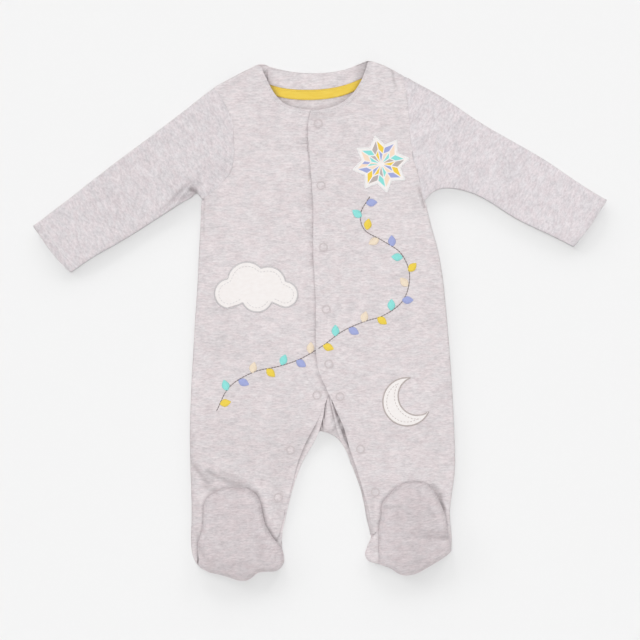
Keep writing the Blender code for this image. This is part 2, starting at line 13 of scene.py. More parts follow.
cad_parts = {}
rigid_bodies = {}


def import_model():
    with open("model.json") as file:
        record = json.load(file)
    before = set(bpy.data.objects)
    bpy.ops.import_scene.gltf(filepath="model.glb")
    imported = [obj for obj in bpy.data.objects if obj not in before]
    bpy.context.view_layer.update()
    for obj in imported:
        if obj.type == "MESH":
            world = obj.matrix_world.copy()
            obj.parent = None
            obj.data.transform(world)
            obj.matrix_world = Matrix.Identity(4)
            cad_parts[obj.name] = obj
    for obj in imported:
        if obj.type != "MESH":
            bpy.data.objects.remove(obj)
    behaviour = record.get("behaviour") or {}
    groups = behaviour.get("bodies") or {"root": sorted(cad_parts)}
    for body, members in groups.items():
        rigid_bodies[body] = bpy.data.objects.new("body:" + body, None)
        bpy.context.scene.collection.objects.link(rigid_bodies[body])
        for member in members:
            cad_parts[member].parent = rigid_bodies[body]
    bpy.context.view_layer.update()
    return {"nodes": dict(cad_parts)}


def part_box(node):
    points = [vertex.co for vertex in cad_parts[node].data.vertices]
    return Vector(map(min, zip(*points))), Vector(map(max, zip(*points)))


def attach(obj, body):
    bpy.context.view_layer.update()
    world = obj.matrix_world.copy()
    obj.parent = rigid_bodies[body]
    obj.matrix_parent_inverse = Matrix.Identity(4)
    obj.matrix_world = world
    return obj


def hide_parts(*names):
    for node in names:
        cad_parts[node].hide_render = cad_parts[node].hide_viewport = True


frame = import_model()

MM = 0.001
CLOTH = 1.2  # thickness of the jersey; all lengths are in millimetres unless they say otherwise
TRIM = 1.0  # thickness of the tape and the applique
RIB = 1.0  # from rib to rib of the knit, and from course to course
COURSE = 0.75
TWILL_RIB = 0.9
TABLE_SIZE = 16.0
TABLE_Z = -0.3
WELL_ABOVE = 40.0  # higher than all of the garment
CAMERA_AT = (0.0, -0.0016, 1.64)
CAMERA_LENS = 85.0
# Lights: where each comes from, its power, and its width in degrees.
WINDOW = (-0.30, 0.90, 0.60), 0.50, 40.0
FILL = (0.20, -0.90, 0.35), 0.70, 80.0
CEILING = (-0.05, 0.15, 1.0), 1.96, 110.0
TABLE_LEFT = (-0.78, 0.62, 0.20), 1.00, 13.0
TABLE_BACK = (-0.25, 0.97, 0.20), 1.04, 13.0
TABLE_RIGHT = (0.40, 0.92, 0.20), 1.00, 13.0
TABLE_HIGH = (0.0, 0.1, 1.0), 1.68, 14.0
ROOM_LIGHT = 0.25

# Colours, in linear red, green and blue. Where there are two, the first is the darker.
MARL_LIGHT = (0.88, 0.823, 0.828)
MARL_DARK = (0.505, 0.447, 0.458)
MARL_BLUE = (0.69, 0.675, 0.70)
MARL_PINK = (0.81, 0.70, 0.725)
MARL_CONTRAST = 3.0  # between the pale and the dark fibres, and how pale they are on the whole
MARL_MIDDLE = 0.58
TINT_CONTRAST = 4.0  # between the blue and the pink fibres, and their share in the colour
TINT_SHARE = 0.26
# Cloth that isn't cut upright: how it is turned, and what its red, green and blue are multiplied by.
RIGHT_SLEEVE_GRAIN = math.radians(-58), (0.963, 0.972, 0.982)
LEFT_SLEEVE_GRAIN = math.radians(64), (1.0, 1.01, 1.025)
# The soles' colour is painted darker, as shade, and made a little pinker.
FOOT_GRAIN_AND_PAINTED_SHADE = math.radians(4), (0.925, 0.91, 0.915)
COTTON = (0.86, 0.81, 0.79), (0.93, 0.90, 0.89)
TAPE_YELLOW = (0.82, 0.55, 0.055), (0.95, 0.73, 0.14)
ENAMEL = (0.56, 0.50, 0.505), (0.70, 0.64, 0.645)
PAPER = (0.795, 0.795, 0.795), (0.805, 0.805, 0.805)
SHADE = (0.10, 0.075, 0.08)  # what the cloth's colour turns to in narrow places
YELLOW = (0.90, 0.63, 0.075)
MINT = (0.27, 0.745, 0.70)
PERIWINKLE = (0.36, 0.405, 0.70)
TAUPE = (0.50, 0.44, 0.42)
PEACH = (0.92, 0.72, 0.56)
WHITE = (0.90, 0.87, 0.86)
GREY = (0.60, 0.575, 0.58)
BROWN = (0.20, 0.165, 0.16)
SEAM_GREY = (0.84, 0.80, 0.805)
GOLD = (0.85, 0.62, 0.10)
PATCH_COLOURS = (YELLOW, MINT, PERIWINKLE, TAUPE, PEACH)
LEAF_COLOURS = (("yellow", YELLOW), ("mint", MINT), ("periwinkle", PERIWINKLE), ("peach", PEACH))


def table(columns, *rows):
    """Named columns, one row for each thing."""
    return {name: np.array(values, float) for name, values in zip(columns.split(), zip(*rows))}


# Creases laid in the upper cloth, each a path of straight stretches: x and y of its start; then,
# for each stretch, the half width, the rise (below 0 for a trough), and x and y of its end.
FOLDS = [
    (119, -103, 8, -0.8, 143, -72), (110, -94, 8, 0.5, 134, -60),
    (-140, -156, 5, -1.5, -122, -171, 5, -1.3, -86, -181, 4, -1, -68, -190),
    (-132, -148, 8, 0.8, -100, -164), (-125.4, 128, 1.6, -1.5, -127, 111, 1.8, -1.2, -126.6, 90),
    (-119, 136, 6, 0.5, -121, 96), (106.6, 142, 1.8, -2, 113, 121), (108, 159, 2, -0.9, 118.5, 138),
    (112, 155, 3.5, 0.6, 122, 140), (77.5, 269, 2, -1, 82.5, 252), (-105, 232, 2, -0.8, -101, 222),
    (-108, 236, 2.5, 0.5, -104, 226), (-173, 116, 2.2, -1.4, -158, 129, 2.2, -2.2, -142, 147.5),
    (-142, 149.5, 1.8, -1.3, -131, 149.5), (-171, 111, 2.4, 0.9, -156, 124, 2.2, 1.2, -141.5, 144),
    (-142, 146, 1.8, 1, -131, 145, 2, 0.9, -126, 134), (-138.5, 141, 2.6, -3, -135.5, 137),
    (-141, 137, 2.6, -2.2, -148, 130.5), (-180, 135, 7, 0.6, -152, 158), (-60, -120, 9, 0.4, -30, -150),
    (-40, -128, 6, -0.4, -24, -150), (55, -110, 9, 0.4, 30, -140), (-6, 40, 9, 0.3, -3, -30),
    (180, 185, 13, 0.5, 200, 150), (205, 168, 9, -0.6, 214, 130), (-205, 150, 12, 0.4, -190, 118),
    (-228, 140, 11, -0.4, -216, 105), (40, 60, 22, 0.4, 90, 40), (-100, 110, 24, 0.4, -40, 130),
    (-60, -60, 20, -0.35, -110, -40), (70, -20, 22, -0.35, 120, 0),
]
# Creases of one piece alone.
OWN_FOLDS = {
    "front_left": [
        (11, -86, 3, 0.8, 17, -103, 4, 3.2, 25, -122, 4, 1.6, 30, -140, 3, 0.5, 48, -195),
        (-11, 222, 3, 0.7, 0, 226, 4, 0.7, 32, 240, 5, 2.7, 50, 276),
        (128.5, -192, 2.4, -2.2, 134, -207), (-12, 215, 2.5, 0.8, -8, 60, 2.5, 0.7, -4, -50),
    ],
    "front_right": [
        (7, -90, 3, 0.9, -4, -115, 3, 0.9, -13, -134, 3, 0.5, -32, -195),
        (13, 225, 4, 0.6, -20, 227, 4, 0.9, -47, 240, 5, 3, -59, 263),
        (-14.4, 212, 1.3, -1.7, -12.9, 167, 1.3, -1.5, -9.4, 67, 1.3, -1.5, -5.8, -42),
    ],
    "back": [(-140, 60, 9, 0.8, -60, 20), (120, 90, 10, 0.9, 60, 30)],
    "foot_sole_right": [
        (-112, -206, 9, -0.6, -90, -212), (-72, -206, 4, -0.7, -76, -238),
        (-62, -250, 4, 0.6, -52, -238), (-56, -262, 2.2, -0.8, -50, -250),
        (-50, -266, 2.2, -0.8, -45, -252), (-118, -246, 9, -0.6, -84, -262),
        (-104, -226, 9, 0.6, -88, -240),
    ],
    "foot_sole_left": [
        (99, -234, 3.2, -1.4, 119, -237, 3, -1.6, 138, -235), (104, -244, 6, 0.9, 134, -245),
        (71, -204, 3.2, -0.9, 88, -204, 3.5, -1, 96, -212), (89, -190, 5, -0.8, 92, -196),
        (100, -198, 7, 0.6, 112, -192), (104, -226, 8, -0.8, 124, -222),
    ],
}

# Painted shade: narrow places that little light gets into, and soft shade on the cloth, painted darker
# into its colour: paths too, with how dark they are painted in place of the rise.
PAINTED_SHADE_PATHS = {
    "back": [
        (7, -88, 1.2, 0.22, 5.6, -100, 1.4, 0.42, 3.2, -112, 1.6, 0.55, 0.6, -121.5),
        (14, -96, 2, 0.3, 18, -104, 2.6, 0.5, 22.5, -114, 2.6, 0.55, 26, -124, 2.2, 0.42, 30, -138),
        (30, -138, 1.8, 0.2, 37, -152),
        (10.6, -90, 1.1, 0.28, 14.1, -103, 1.3, 0.34, 17.5, -120, 1.3, 0.24, 21, -130),
        (0, -122, 1.3, 0.06, 11, -125.5), (-60.5, 267, 2.6, 0.46, -56, 254),
        (-60, 264, 6, 0.16, -52, 250), (52, 281, 2.4, 0.34, 46.5, 258),
        (48.5, 281, 6.5, 0.25, 43.5, 257), (-47, 241.5, 1.2, 0.1, -35, 232.5),
        (44, 258, 1.9, 0.22, 33, 243.5),
    ],
    "leg_strip_right": [
        (0, -104, 1.4, 0.16, -5, -116, 1.8, 0.4, -15, -136, 1.6, 0.32, -24, -157, 1.6, 0.14, -40, -205),
    ],
    "leg_strip_left": [
        (13.2, -98, 0.9, 0.26, 14.1, -103, 0.9, 0.32, 17.5, -120, 0.9, 0.24, 21, -130),
        (14.8, -96, 1.8, 0.3, 19.6, -111, 2.2, 0.4, 24.2, -123, 2.2, 0.36, 30.5, -139),
        (30.5, -139, 2.6, 0.32, 36.5, -157, 2.8, 0.3, 45.5, -188, 3, 0.3, 52, -222, 3, 0.3, 57, -240),
    ],
    "neck_tape": [(-55, 256, 2.4, 0.34, -47, 240), (46, 262, 3.2, 0.24, 40, 247)],
    "sleeve_right": [
        (-311, 100, 6, 0.06, -270.5, 50), (-139.5, 139.5, 2.8, 0.62, -134.5, 137.5),
        (-136, 136.5, 2.6, 0.3, -145.5, 131.5), (-173, 112, 1.3, 0.14, -158, 129.5),
        (-158, 130.5, 1.9, 0.2, -152, 137, 1.9, 0.28, -143.5, 145),
        (-143.5, 145.5, 1.5, 0.2, -138.5, 148.6, 1.3, 0.16, -129, 146.5),
    ],
    "sleeve_left": [
        (275.5, 78, 4, 0.05, 311, 128), (88, 264, 5, 0.14, 122, 247, 3.2, 0.09, 303, 139),
        (96.2, 259, 0.9, 0.06, 97.9, 199, 0.9, 0.07, 103.6, 167, 0.9, 0.07, 119, 138),
        (104, 199, 0.8, 0.04, 110, 169, 0.8, 0.05, 124, 142),
    ],
    "front_right": [
        (-5.6, -40, 1.2, 0.12, -3.4, -59, 1.3, 0.2, 4.6, -76, 1.4, 0.26, 9.8, -87),
        (-110, -130, 38, 0.08, -40, -150), (-46, -165, 12, 0.1, -42, -240),
        (-112, 6, 24, 0.05, -104, -32), (-47, 241, 0.9, 0.14, -35, 232, 0.9, 0.12, -14, 227.5),
        (-103, 251, 4, 0.09, -66, 272), (-119, 118, 5, 0.09, -116, 100),
        (-36, -120, 7, 0.08, -14, -130), (-30, -132, 6, 0.1, -38, -175),
        (-136, -160, 2.8, 0.34, -121, -178), (-121, -165, 3.2, 0.3, -110, -172, 3.2, 0.27, -87, -180),
        (-124, -181, 4, 0.24, -115, -185), (-134, -196, 4, 0.13, -133, -262),
        (-140, -156, 4.4, 0.23, -128, -168, 4.8, 0.22, -117, -175),
        (-107, -166, 4.2, 0.18, -89, -175, 4.2, 0.16, -76, -180.5), (-141, -128, 8, 0.17, -141.5, -240),
        (-48, -152, 3.4, 0.13, -36, -158), (-80, -184, 2.5, 0.14, -71, -188),
        (-69, -188, 3.2, 0.27, -63, -207, 3.2, 0.29, -58.5, -224, 3.2, 0.28, -47, -241.5),
        (-126.8, -199, 1.2, 0.12, -126.8, -224, 1.2, 0.16, -131.8, -243),
        (-132, -243, 1.2, 0.2, -132.6, -262),
        (-133.2, 143.5, 0.9, 0.12, -127.8, 137, 0.9, 0.15, -125.6, 128.3, 0.9, 0.15, -127.3, 111),
    ],
    "front_left": [
        (106.7, 141.3, 1.1, 0.34, 113.5, 121), (77.6, 270, 1.4, 0.26, 81.5, 251),
        (-8, 226, 0.9, 0.12, 16, 231, 0.9, 0.14, 32, 241, 0.9, 0.16, 45, 260),
        (-6, 219, 5, 0.1, 14, 220), (60, -125, 35, 0.045, 125, -140), (48, -178, 7, 0.09, 74, -180),
        (88, 262, 4, 0.1, 104, 253), (57, -195, 3, 0.14, 57, -236),
        (123, -181, 3.2, 0.24, 130, -190, 2.6, 0.38, 131, -199),
        (131, -198, 2.2, 0.44, 134, -207, 1.4, 0.22, 137, -222),
        (67.6, -198, 1.5, 0.18, 66, -211, 1.4, 0.18, 63, -226),
    ],
    "foot_sole_right": [
        (-97, -210, 26, 0.05, -97, -262), (-112, -266, 16, 0.14, -62, -272),
        (-66, -238, 6, 0.15, -63, -264), (-130, -246, 5, 0.16, -116, -273),
        (-104, -213, 4, 0.09, -88, -211),
    ],
    "foot_upper_right": [(-134, -196, 4, 0.13, -133, -262)],
    "foot_upper_left": [(64, -236, 14, 0.06, 70, -262)],
    "foot_sole_left": [
        (103, -208, 28, 0.09, 103, -262), (92, -196, 4, 0.11, 112, -196),
        (116, -205, 3, 0.18, 123, -213), (85, -262, 12, 0.12, 112, -262),
        (100, -231, 6, 0.16, 134, -231), (84, -206, 8, 0.12, 88, -226),
        (71, -204, 2.6, 0.17, 86, -203.5, 2.6, 0.17, 96, -211), (104, -235, 2.6, 0.22, 119, -236),
        (119, -236.5, 2.6, 0.3, 137, -236.5),
    ],
}
PAINTED_SHADE_PATHS["neck_band"] = PAINTED_SHADE_PATHS["back"]
TROUGH_SHADE = 0.065  # for each millimetre of a trough's depth

# The slow unevenness of the cloth: its waves, their shortest and longest length, and a random seed and
# the height, for the upper and for the lower side.
SWELL_WAVES = 9
SWELL_LENGTHS = (45, 120)
UPPER_SWELL = (4, 0.22)
LOWER_SWELL = (9, 0.5)
UPPER_SIDE = (1.4, 2.2)  # above what height it starts to be upper cloth, and over how much it becomes it
LOWER_SIDE = (1.0, 1.4)  # the same, for the lower side's end

# The soles' rims, a low ridge beside the seam and a shallow groove inside it: how far from the edge its
# middle lies, half width, and rise.
SOLE_RIDGE = (3.2, 1.6, 0.45)
SOLE_GROOVE = (6.6, 1.8, -0.3)
SOLE_SEAM_SHADE = (1.1, 0.05)  # half width of the shade line painted along a sole's edge, and how dark
TUCK_REACH = 2.4  # how far from a sole the cloth beside it is drawn down, and how deep
TUCK_DEPTH = 0.55
TUCK_AREA = 8.0  # beyond this distance from a sole no cloth is drawn down
UPPER_CLOTH_Z = 2.2  # below this height is the cloth's lower layer

# The notch under the right arm: x of its middle, half width, how much higher it is than the solid's own
# edge, the y above which the sleeve stays as it is, and how far below that it moves in full.
NOTCH = (-133.5, 5.0, 6.0, 151.0, 22.0)

# The neck band's left end goes under the front: from which x it is lengthened, by what share, and how
# steeply upwards.
BAND_END = (36.0, 0.5, 0.5)
APPLIQUE_SINK = (0.65, 0.25)  # how far an applique's upper and lower side lie below the solid's

# Edges that are sewn along, as points of the finished garment.
NECK_RIGHT = [(-61, 267), (-54, 253), (-47, 240), (-35, 231), (-20, 227.5), (-13, 226.8)]
NECK_LEFT = [(46, 262), (45, 259), (32, 240), (16, 230), (0, 226), (-9, 225)]
CUFF_RIGHT = [(-311, 100), (-302, 86.5), (-292.5, 73), (-282, 60.5), (-270.5, 50)]
CUFF_LEFT = [(275.5, 78), (285.5, 89.5), (294.7, 102), (303.5, 115.5), (311, 128)]
TAPE_TOP = [(-55, 254.0), (-46, 250.5), (-33, 248.3), (-12, 247.5), (12, 249.3), (30, 253.5), (44, 259.3)]
TAPE_BOTTOM = [(-49, 241.5), (-46, 240.5), (-33, 238.0), (-12, 236.8), (12, 238.6), (30, 243.0), (40, 248)]
# Seams that a piece's edge is drawn up to its neighbour at, and the widest gap that is closed in full.
SEAM_GAP = 1.7
ARMHOLE_RIGHT = [(-116, 250), (-96, 213), (-94, 168), (-106, 147), (-128, 128)]
ARMHOLE_LEFT = [(91, 263), (98, 199), (102, 170), (113.5, 128)]
TAPE_LINE = [(-57, 250), (46, 250)]
HEEL_LEFT = [(62, -266), (62, -256)]
HEM = 9.5  # from the cuff's edge to its stitches
# What stays pointed when the cloth is made fine: the cuffs' corners, and every sharp turn of a cut edge.
CORNERS = [CUFF_RIGHT[0], CUFF_RIGHT[-1], CUFF_LEFT[0], CUFF_LEFT[-1]]
CORNER_REACH = 2.0
SHARP_CORNER = math.radians(35)

# The doubled strips along the open inner legs of the back: a row for each section from the crotch
# down to the ankle, with the height of the strip's middle at its two edges.
STRIP_RIGHT = table(
    "y inner outer inner_z outer_z",
    (-80, 9.0, 6.0, 1.7, 1.7),
    (-86, 6.8, 3.0, 2.4, 1.8),
    (-92, 5.4, 0.0, 3.4, 1.9),
    (-104, 3.9, -4.0, 4.2, 2.1),
    (-113, 1.8, -8.0, 4.1, 2.0),
    (-121, -0.7, -12, 3.5, 1.9),
    (-134, -6.4, -19, 2.2, 1.6),
    (-145, -12.9, -25, 1.8, 1.5),
    (-160, -20.9, -31, 1.6, 1.5),
    (-188, -30.4, -38, 1.6, 1.5),
    (-221, -38.4, -46, 1.6, 1.5),
    (-234, -40.8, -48, 1.6, 1.5),
)
STRIP_LEFT = table(
    "y inner outer inner_z outer_z",
    (-82, 9.8, 12.0, 1.8, 1.8),
    (-90, 11.4, 12.8, 2.8, 3.1),
    (-96, 12.7, 14.6, 3.4, 4.1),
    (-103, 14.1, 16.6, 4.0, 5.1),
    (-111, 15.8, 19.4, 4.0, 5.4),
    (-120, 17.5, 22.9, 3.5, 5.2),
    (-127, 19.8, 25.2, 2.6, 4.2),
    (-132, 22.0, 27.2, 2.4, 3.6),
    (-145, 29.0, 35.0, 1.9, 2.0),
    (-160, 34.8, 43.0, 1.6, 1.5),
    (-188, 44.8, 53.0, 1.6, 1.5),
    (-221, 51.5, 60.0, 1.6, 1.5),
    (-234, 55.0, 63.0, 1.6, 1.5),
)

# The cloth between the two strips, which stands up beside the right one: a row for each section.
GUSSET = table(
    "y slit strip rise",
    (-84, 7.6, 10.5, 0.4),
    (-90, 6.6, 11.9, 2.0),
    (-104, 4.9, 15.0, 3.3),
    (-113, 2.9, 17.6, 3.1),
    (-119, 1.0, 20.0, 2.6),
    (-126, -1.5, 23.0, 1.2),
    (-142, -1.5, 25.0, 0.0),
)
STRIP_THICKNESS = 0.7
STRIP_ROUND = 0.3
STRIP_LIFT = 0.3  # a strip's middle is nowhere less than this above the cloth
GUSSET_EDGES = (1.1, 3.0)  # over what width it rises beside the slit, and beside the left strip
CROTCH = (-14.0, -148.0, 34.0, -80.0)  # lowest x and y, highest x and y of the part that is made finer

# The embroidery: a stem that wanders over both fronts, with leaves in four colours.
STEM = [
    (-112, -100), (-98, -74), (-72, -58), (-46, -52), (-22, -44), (2, -30), (24, -14), (46, -4),
    (70, 4), (90, 20), (97, 46), (88, 70), (68, 84), (48, 96), (44, 114), (54, 132),
]
LEAF_PITCH = 17.0
LEAF_LENGTH = 12.5
LEAF_WIDTH = 7.4
LEAF_TURN = 0.95  # how far a leaf turns from the stem

# Stitches: length and width, how far apart, and how far inside an edge.
STEM_STITCH = (3.3, 0.95)
RUNNING_STITCH = (2.3, 0.55)
RUNNING_PITCH = 3.6
SEAM_STITCH = (2.3, 0.4)
SEAM_PITCH = 2.6
NECK_INSET = 4.0
TAPE_INSETS = (-1.6, 1.4)
SATIN_PITCH = 0.7
SATIN_UNEVEN = 0.07  # a share of the satin's width
SATIN_HEIGHT = 0.45
SATIN_FOOT = (0.85, 0.25)  # how wide its underside is, as a share, and how deep it goes
STEEPEST = 1.5  # nothing is sewn where the cloth under it rises or falls by more than this
FINE_STRAND = 0.4  # from strand to strand of the thread in seams


class Socket:
    """One output among a material's nodes. Python's operators on it add Math nodes."""

    def __init__(self, tree, output=None):
        self.tree = tree
        self.output = output

    def node(self, kind, settings=None, inputs=None, output=0):
        """Adds a node: first its settings, then the values or links of its sockets."""
        made = self.tree.nodes.new(kind)
        for name, value in (settings or {}).items():
            if name == "stops":
                self.set_stops(made.color_ramp, value)
            else:
                setattr(made, name, value)
        for name, value in (inputs or {}).items():
            if isinstance(value, Socket):
                self.tree.links.new(value.output, made.inputs[name])
            else:
                made.inputs[name].default_value = value
        return Socket(self.tree, made.outputs[output])

    @staticmethod
    def set_stops(ramp, stops):
        ramp.interpolation = "CONSTANT"
        for k, (position, colour) in enumerate(stops):
            stop = ramp.elements[k] if k < 2 else ramp.elements.new(position)
            stop.position = position
            stop.color = (*colour, 1)

    def maths(self, operation, *others):
        return self.node("ShaderNodeMath", {"operation": operation}, dict(enumerate((self, *others))))

    def clamped(self):
        return self.node("ShaderNodeClamp", inputs={"Value": self})

    def mixed(self, low, high):
        """The first colour where this is 0, the second where it is 1."""
        low, high = ((*c, 1) if isinstance(c, tuple) else c for c in (low, high))
        return self.node("ShaderNodeMix", {"data_type": "RGBA"}, {0: self, 6: low, 7: high}, output=2)

    def __add__(self, other):
        return self.maths("ADD", other)

    __radd__ = __add__

    def __mul__(self, other):
        return self.maths("MULTIPLY", other)

    __rmul__ = __mul__

    def __sub__(self, other):
        return self.maths("SUBTRACT", other)

    def __rsub__(self, other):
        return self * -1 + other

    def __truediv__(self, other):
        return self.maths("DIVIDE", other)

    def __gt__(self, other):
        return self.maths("GREATER_THAN", other)

    def __lt__(self, other):
        return self.maths("LESS_THAN", other)


class Finish:
    """A material in the making: its shader, and where on the piece each point is."""

    def __init__(self, name, roughness=0.9, sheen=0.0):
        self.material = bpy.data.materials.new(name)
        self.material.use_nodes = True
        self.tree = self.material.node_tree
        self.shader = self.tree.nodes["Principled BSDF"]
        self.shader.inputs["Roughness"].default_value = roughness
        self.shader.inputs["Sheen Weight"].default_value = sheen
        self.shader.inputs["Specular IOR Level"].default_value = 0.25
        self.place = Socket(self.tree).node("ShaderNodeTexCoord", output="Object")

    def feed(self, name, socket):
        self.tree.links.new(socket.output, self.shader.inputs[name])

    def turned(self, angle):
        inputs = {"Vector": self.place, "Rotation": (0, 0, -angle)}
        return self.place.node("ShaderNodeMapping", inputs=inputs)

    def noise(self, vector, size, detail=2.0, roughness=0.5):
        """Mottling whose spots are about this size, in metres along x, y and z."""
        scale = tuple(1 / s for s in size)
        scaled = self.place.node("ShaderNodeMapping", inputs={"Vector": vector, "Scale": scale})
        inputs = {"Vector": scaled, "Scale": 1.0, "Detail": detail, "Roughness": roughness}
        return self.place.node("ShaderNodeTexNoise", inputs=inputs)

    def parts(self, vector):
        """x, y and z, in millimetres."""
        split = self.place.node("ShaderNodeSeparateXYZ", inputs={"Vector": vector})
        return [Socket(self.tree, out) * 1000.0 for out in split.output.node.outputs]

    def hollow(self):
        """How much shade is painted into each point's colour, 0 to 1."""
        return self.place.node("ShaderNodeAttribute", {"attribute_name": "hollow"}, output="Fac")

    def bump(self, height, distance, strength=1.0):
        inputs = {"Height": height, "Distance": distance, "Strength": strength}
        self.feed("Normal", self.place.node("ShaderNodeBump", inputs=inputs))


def knit(finish, vector):
    """The height of fine jersey: ribs of small V-shaped loops, with a little fuzz."""
    x, y, _ = finish.parts(vector)
    rib = (x * (math.tau / RIB)).maths("SINE")
    loops = ((y + rib.maths("ABSOLUTE") * 0.35) * (math.tau / COURSE)).maths("SINE")
    fuzz = finish.noise(vector, (0.0012, 0.0012, 0.0012), 3.0, 0.6)
    return rib.maths("ABSOLUTE") * 0.35 + loops * 0.2 + fuzz * 0.7


def jersey(name, angle=0.0, shade=(1.0, 1.0, 1.0), run=1.0, wide=1.0):
    """Grey marl: pale cloth with darker and tinted fibres, this long and wide, that run across its ribs."""
    finish = Finish(name, roughness=0.92, sheen=0.25)
    vector = finish.turned(angle)
    streak = finish.noise(vector, (0.0056 * run, 0.0017 * wide, 0.004), 3.0, 0.6)
    fine = finish.noise(vector, (0.0026 * run, 0.0011 * wide, 0.002), 2.0, 0.6)
    mottle = finish.noise(vector, (0.012, 0.008, 0.012), 2.0, 0.5)
    value = streak * 0.5 + fine * 0.3 + mottle * 0.2
    value = ((value - 0.5) * MARL_CONTRAST + MARL_MIDDLE).clamped()
    tint = finish.noise(vector, (0.012 * run, 0.006, 0.008), 2.0)
    tint = ((tint - 0.5) * TINT_CONTRAST + 0.5).clamped()
    dark, light, blue, pink = (
        tuple(c * s for c, s in zip(colour, shade))
        for colour in (MARL_DARK, MARL_LIGHT, MARL_BLUE, MARL_PINK)
    )
    inputs = {0: TINT_SHARE, 6: value.mixed(dark, light), 7: tint.mixed(blue, pink)}
    fibres = value.node("ShaderNodeMix", {"data_type": "RGBA"}, inputs, output=2)
    # Shade is painted into the colour: it turns towards the shade colour as far as the piece's attribute
    # says.
    finish.feed("Base Color", finish.hollow().mixed(fibres, SHADE))
    finish.feed("Roughness", value * -0.08 + 0.96)
    finish.bump(knit(finish, vector), 0.00022, 0.5)
    return finish.material


def cotton(finish):
    """The colour of white cotton, a little uneven."""
    return finish.noise(finish.place, (0.006, 0.003, 0.006), 2.0).mixed(*COTTON)


def white_cloth(name):
    """White jersey of the cloud and the moon."""
    finish = Finish(name, roughness=0.88, sheen=0.2)
    finish.feed("Base Color", cotton(finish))
    finish.bump(knit(finish, finish.place), 0.0002, 0.4)
    return finish.material


STAR_AT = (66.0, 167.0)
STAR_R = 31.0
STAR_NOTCH_R = 21.0
STAR_POINTS = 8
STAR_TURN = 0.2
INNER_PATCHES = 0.49  # how far out the inner patches end, as a share of the way to the star's edge
OUTER_PATCHES = (0.55, 0.84)  # where the outer patches start and end
PATCH_SEAM = 0.55  # half width of the white line between two patches


def patchwork(name):
    """White cloth printed with the star's coloured triangles, with white lines between them."""
    finish = Finish(name, roughness=0.88, sheen=0.2)
    x, y, _ = finish.parts(finish.place)
    x = x - STAR_AT[0]
    y = y - STAR_AT[1]
    half = math.pi / STAR_POINTS
    reach = (x * x + y * y).maths("SQRT")
    angle = y.maths("ARCTAN2", x) - STAR_TURN + 2 * math.tau
    number = (angle / half).maths("FLOOR")
    folded = angle.maths("PINGPONG", half)
    side_x, side_y = STAR_NOTCH_R * math.sin(half), STAR_R - STAR_NOTCH_R * math.cos(half)
    out = (folded.maths("COSINE") * side_x + folded.maths("SINE") * side_y) * reach / (STAR_R * side_x)
    seam = reach * (half / 2 - (folded - half / 2).maths("ABSOLUTE")).maths("SINE")
    inner = out < INNER_PATCHES
    outer = (out > OUTER_PATCHES[0]) * (out < OUTER_PATCHES[1])
    printed = (seam > PATCH_SEAM) * (inner + outer) * (reach > 2.0)
    kinds = len(PATCH_COLOURS)
    choice = (number * 3.0 + inner * 2.0).maths("MODULO", kinds) / kinds + 0.02
    stops = [(k / kinds, colour) for k, colour in enumerate(PATCH_COLOURS)]
    colour = finish.place.node("ShaderNodeValToRGB", {"stops": stops}, {"Fac": choice})
    finish.feed("Base Color", printed.mixed(cotton(finish), colour))
    finish.bump(knit(finish, finish.place), 0.0002, 0.4)
    return finish.material


def twill(name):
    """Yellow cotton tape with a fine diagonal rib."""
    finish = Finish(name, roughness=0.85, sheen=0.15)
    x, y, _ = finish.parts(finish.place)
    rib = ((x + y * 0.8) * (math.tau / TWILL_RIB)).maths("SINE")
    mottle = finish.noise(finish.place, (0.010, 0.002, 0.006), 3.0)
    value = (mottle * 0.9 + rib * 0.05).clamped()
    # Shade is painted into the tape's colour: towards the shade colour as far as its attribute says.
    finish.feed("Base Color", finish.hollow().mixed(value.mixed(*TAPE_YELLOW), SHADE))
    finish.bump(rib, 0.0001, 0.5)
    return finish.material


def thread(name, colour, strand=0.6):
    """Embroidery thread, laid in strands that cross the piece's own u direction."""
    finish = Finish(name, roughness=0.5, sheen=0.3)
    uv = finish.place.node("ShaderNodeTexCoord", output="UV")
    u, v, _ = finish.parts(uv)
    ridge = ((u + v * 0.35) * (math.tau / strand)).maths("SINE")
    mottle = finish.noise(finish.place, (0.002, 0.002, 0.002), 2.0)
    value = (ridge * 0.25 + mottle * 0.5 + 0.25).clamped()
    dark = tuple(c * 0.9 for c in colour)
    light = tuple(min(1.0, c * 1.25) for c in colour)
    finish.feed("Base Color", value.mixed(dark, light))
    finish.bump(ridge, 0.00012, 0.5)
    return finish.material


def enamel(name):
    """Grey enamelled metal of the poppers' rings."""
    finish = Finish(name, roughness=0.3)
    worn = finish.noise(finish.place, (0.0015, 0.0015, 0.0015), 3.0)
    finish.feed("Base Color", worn.mixed(*ENAMEL))
    finish.feed("Roughness", worn * 0.25 + 0.2)
    finish.shader.inputs["Coat Weight"].default_value = 0.4
    finish.bump(worn, 0.00005, 0.4)
    return finish.material


def paper(name):
    """Smooth pale paper, for the table."""
    finish = Finish(name, roughness=0.9)
    grain = finish.noise(finish.place, (0.004, 0.004, 0.004), 3.0)
    finish.feed("Base Color", grain.mixed(*PAPER))
    finish.bump(grain, 0.0001, 0.2)
    return finish.material


def ease(share):
    """0 up to 0, 1 from 1 on, and soft between."""
    share = np.clip(share, 0, 1)
    return share * share * (3 - 2 * share)


def bell(away, width):
    """1 where this distance is 0, a third at the half width, and next to nothing at twice that."""
    return np.exp(-((away / width) ** 2))


def beside(plan, x1, y1, x2, y2):
    """Distance of each plan point from a straight stretch."""
    start, along = np.array([x1, y1], float), np.array([x2 - x1, y2 - y1], float)
    share = np.clip(((plan - start) @ along) / (along @ along), 0, 1)
    return np.linalg.norm(plan - start - share[:, None] * along, axis=1)


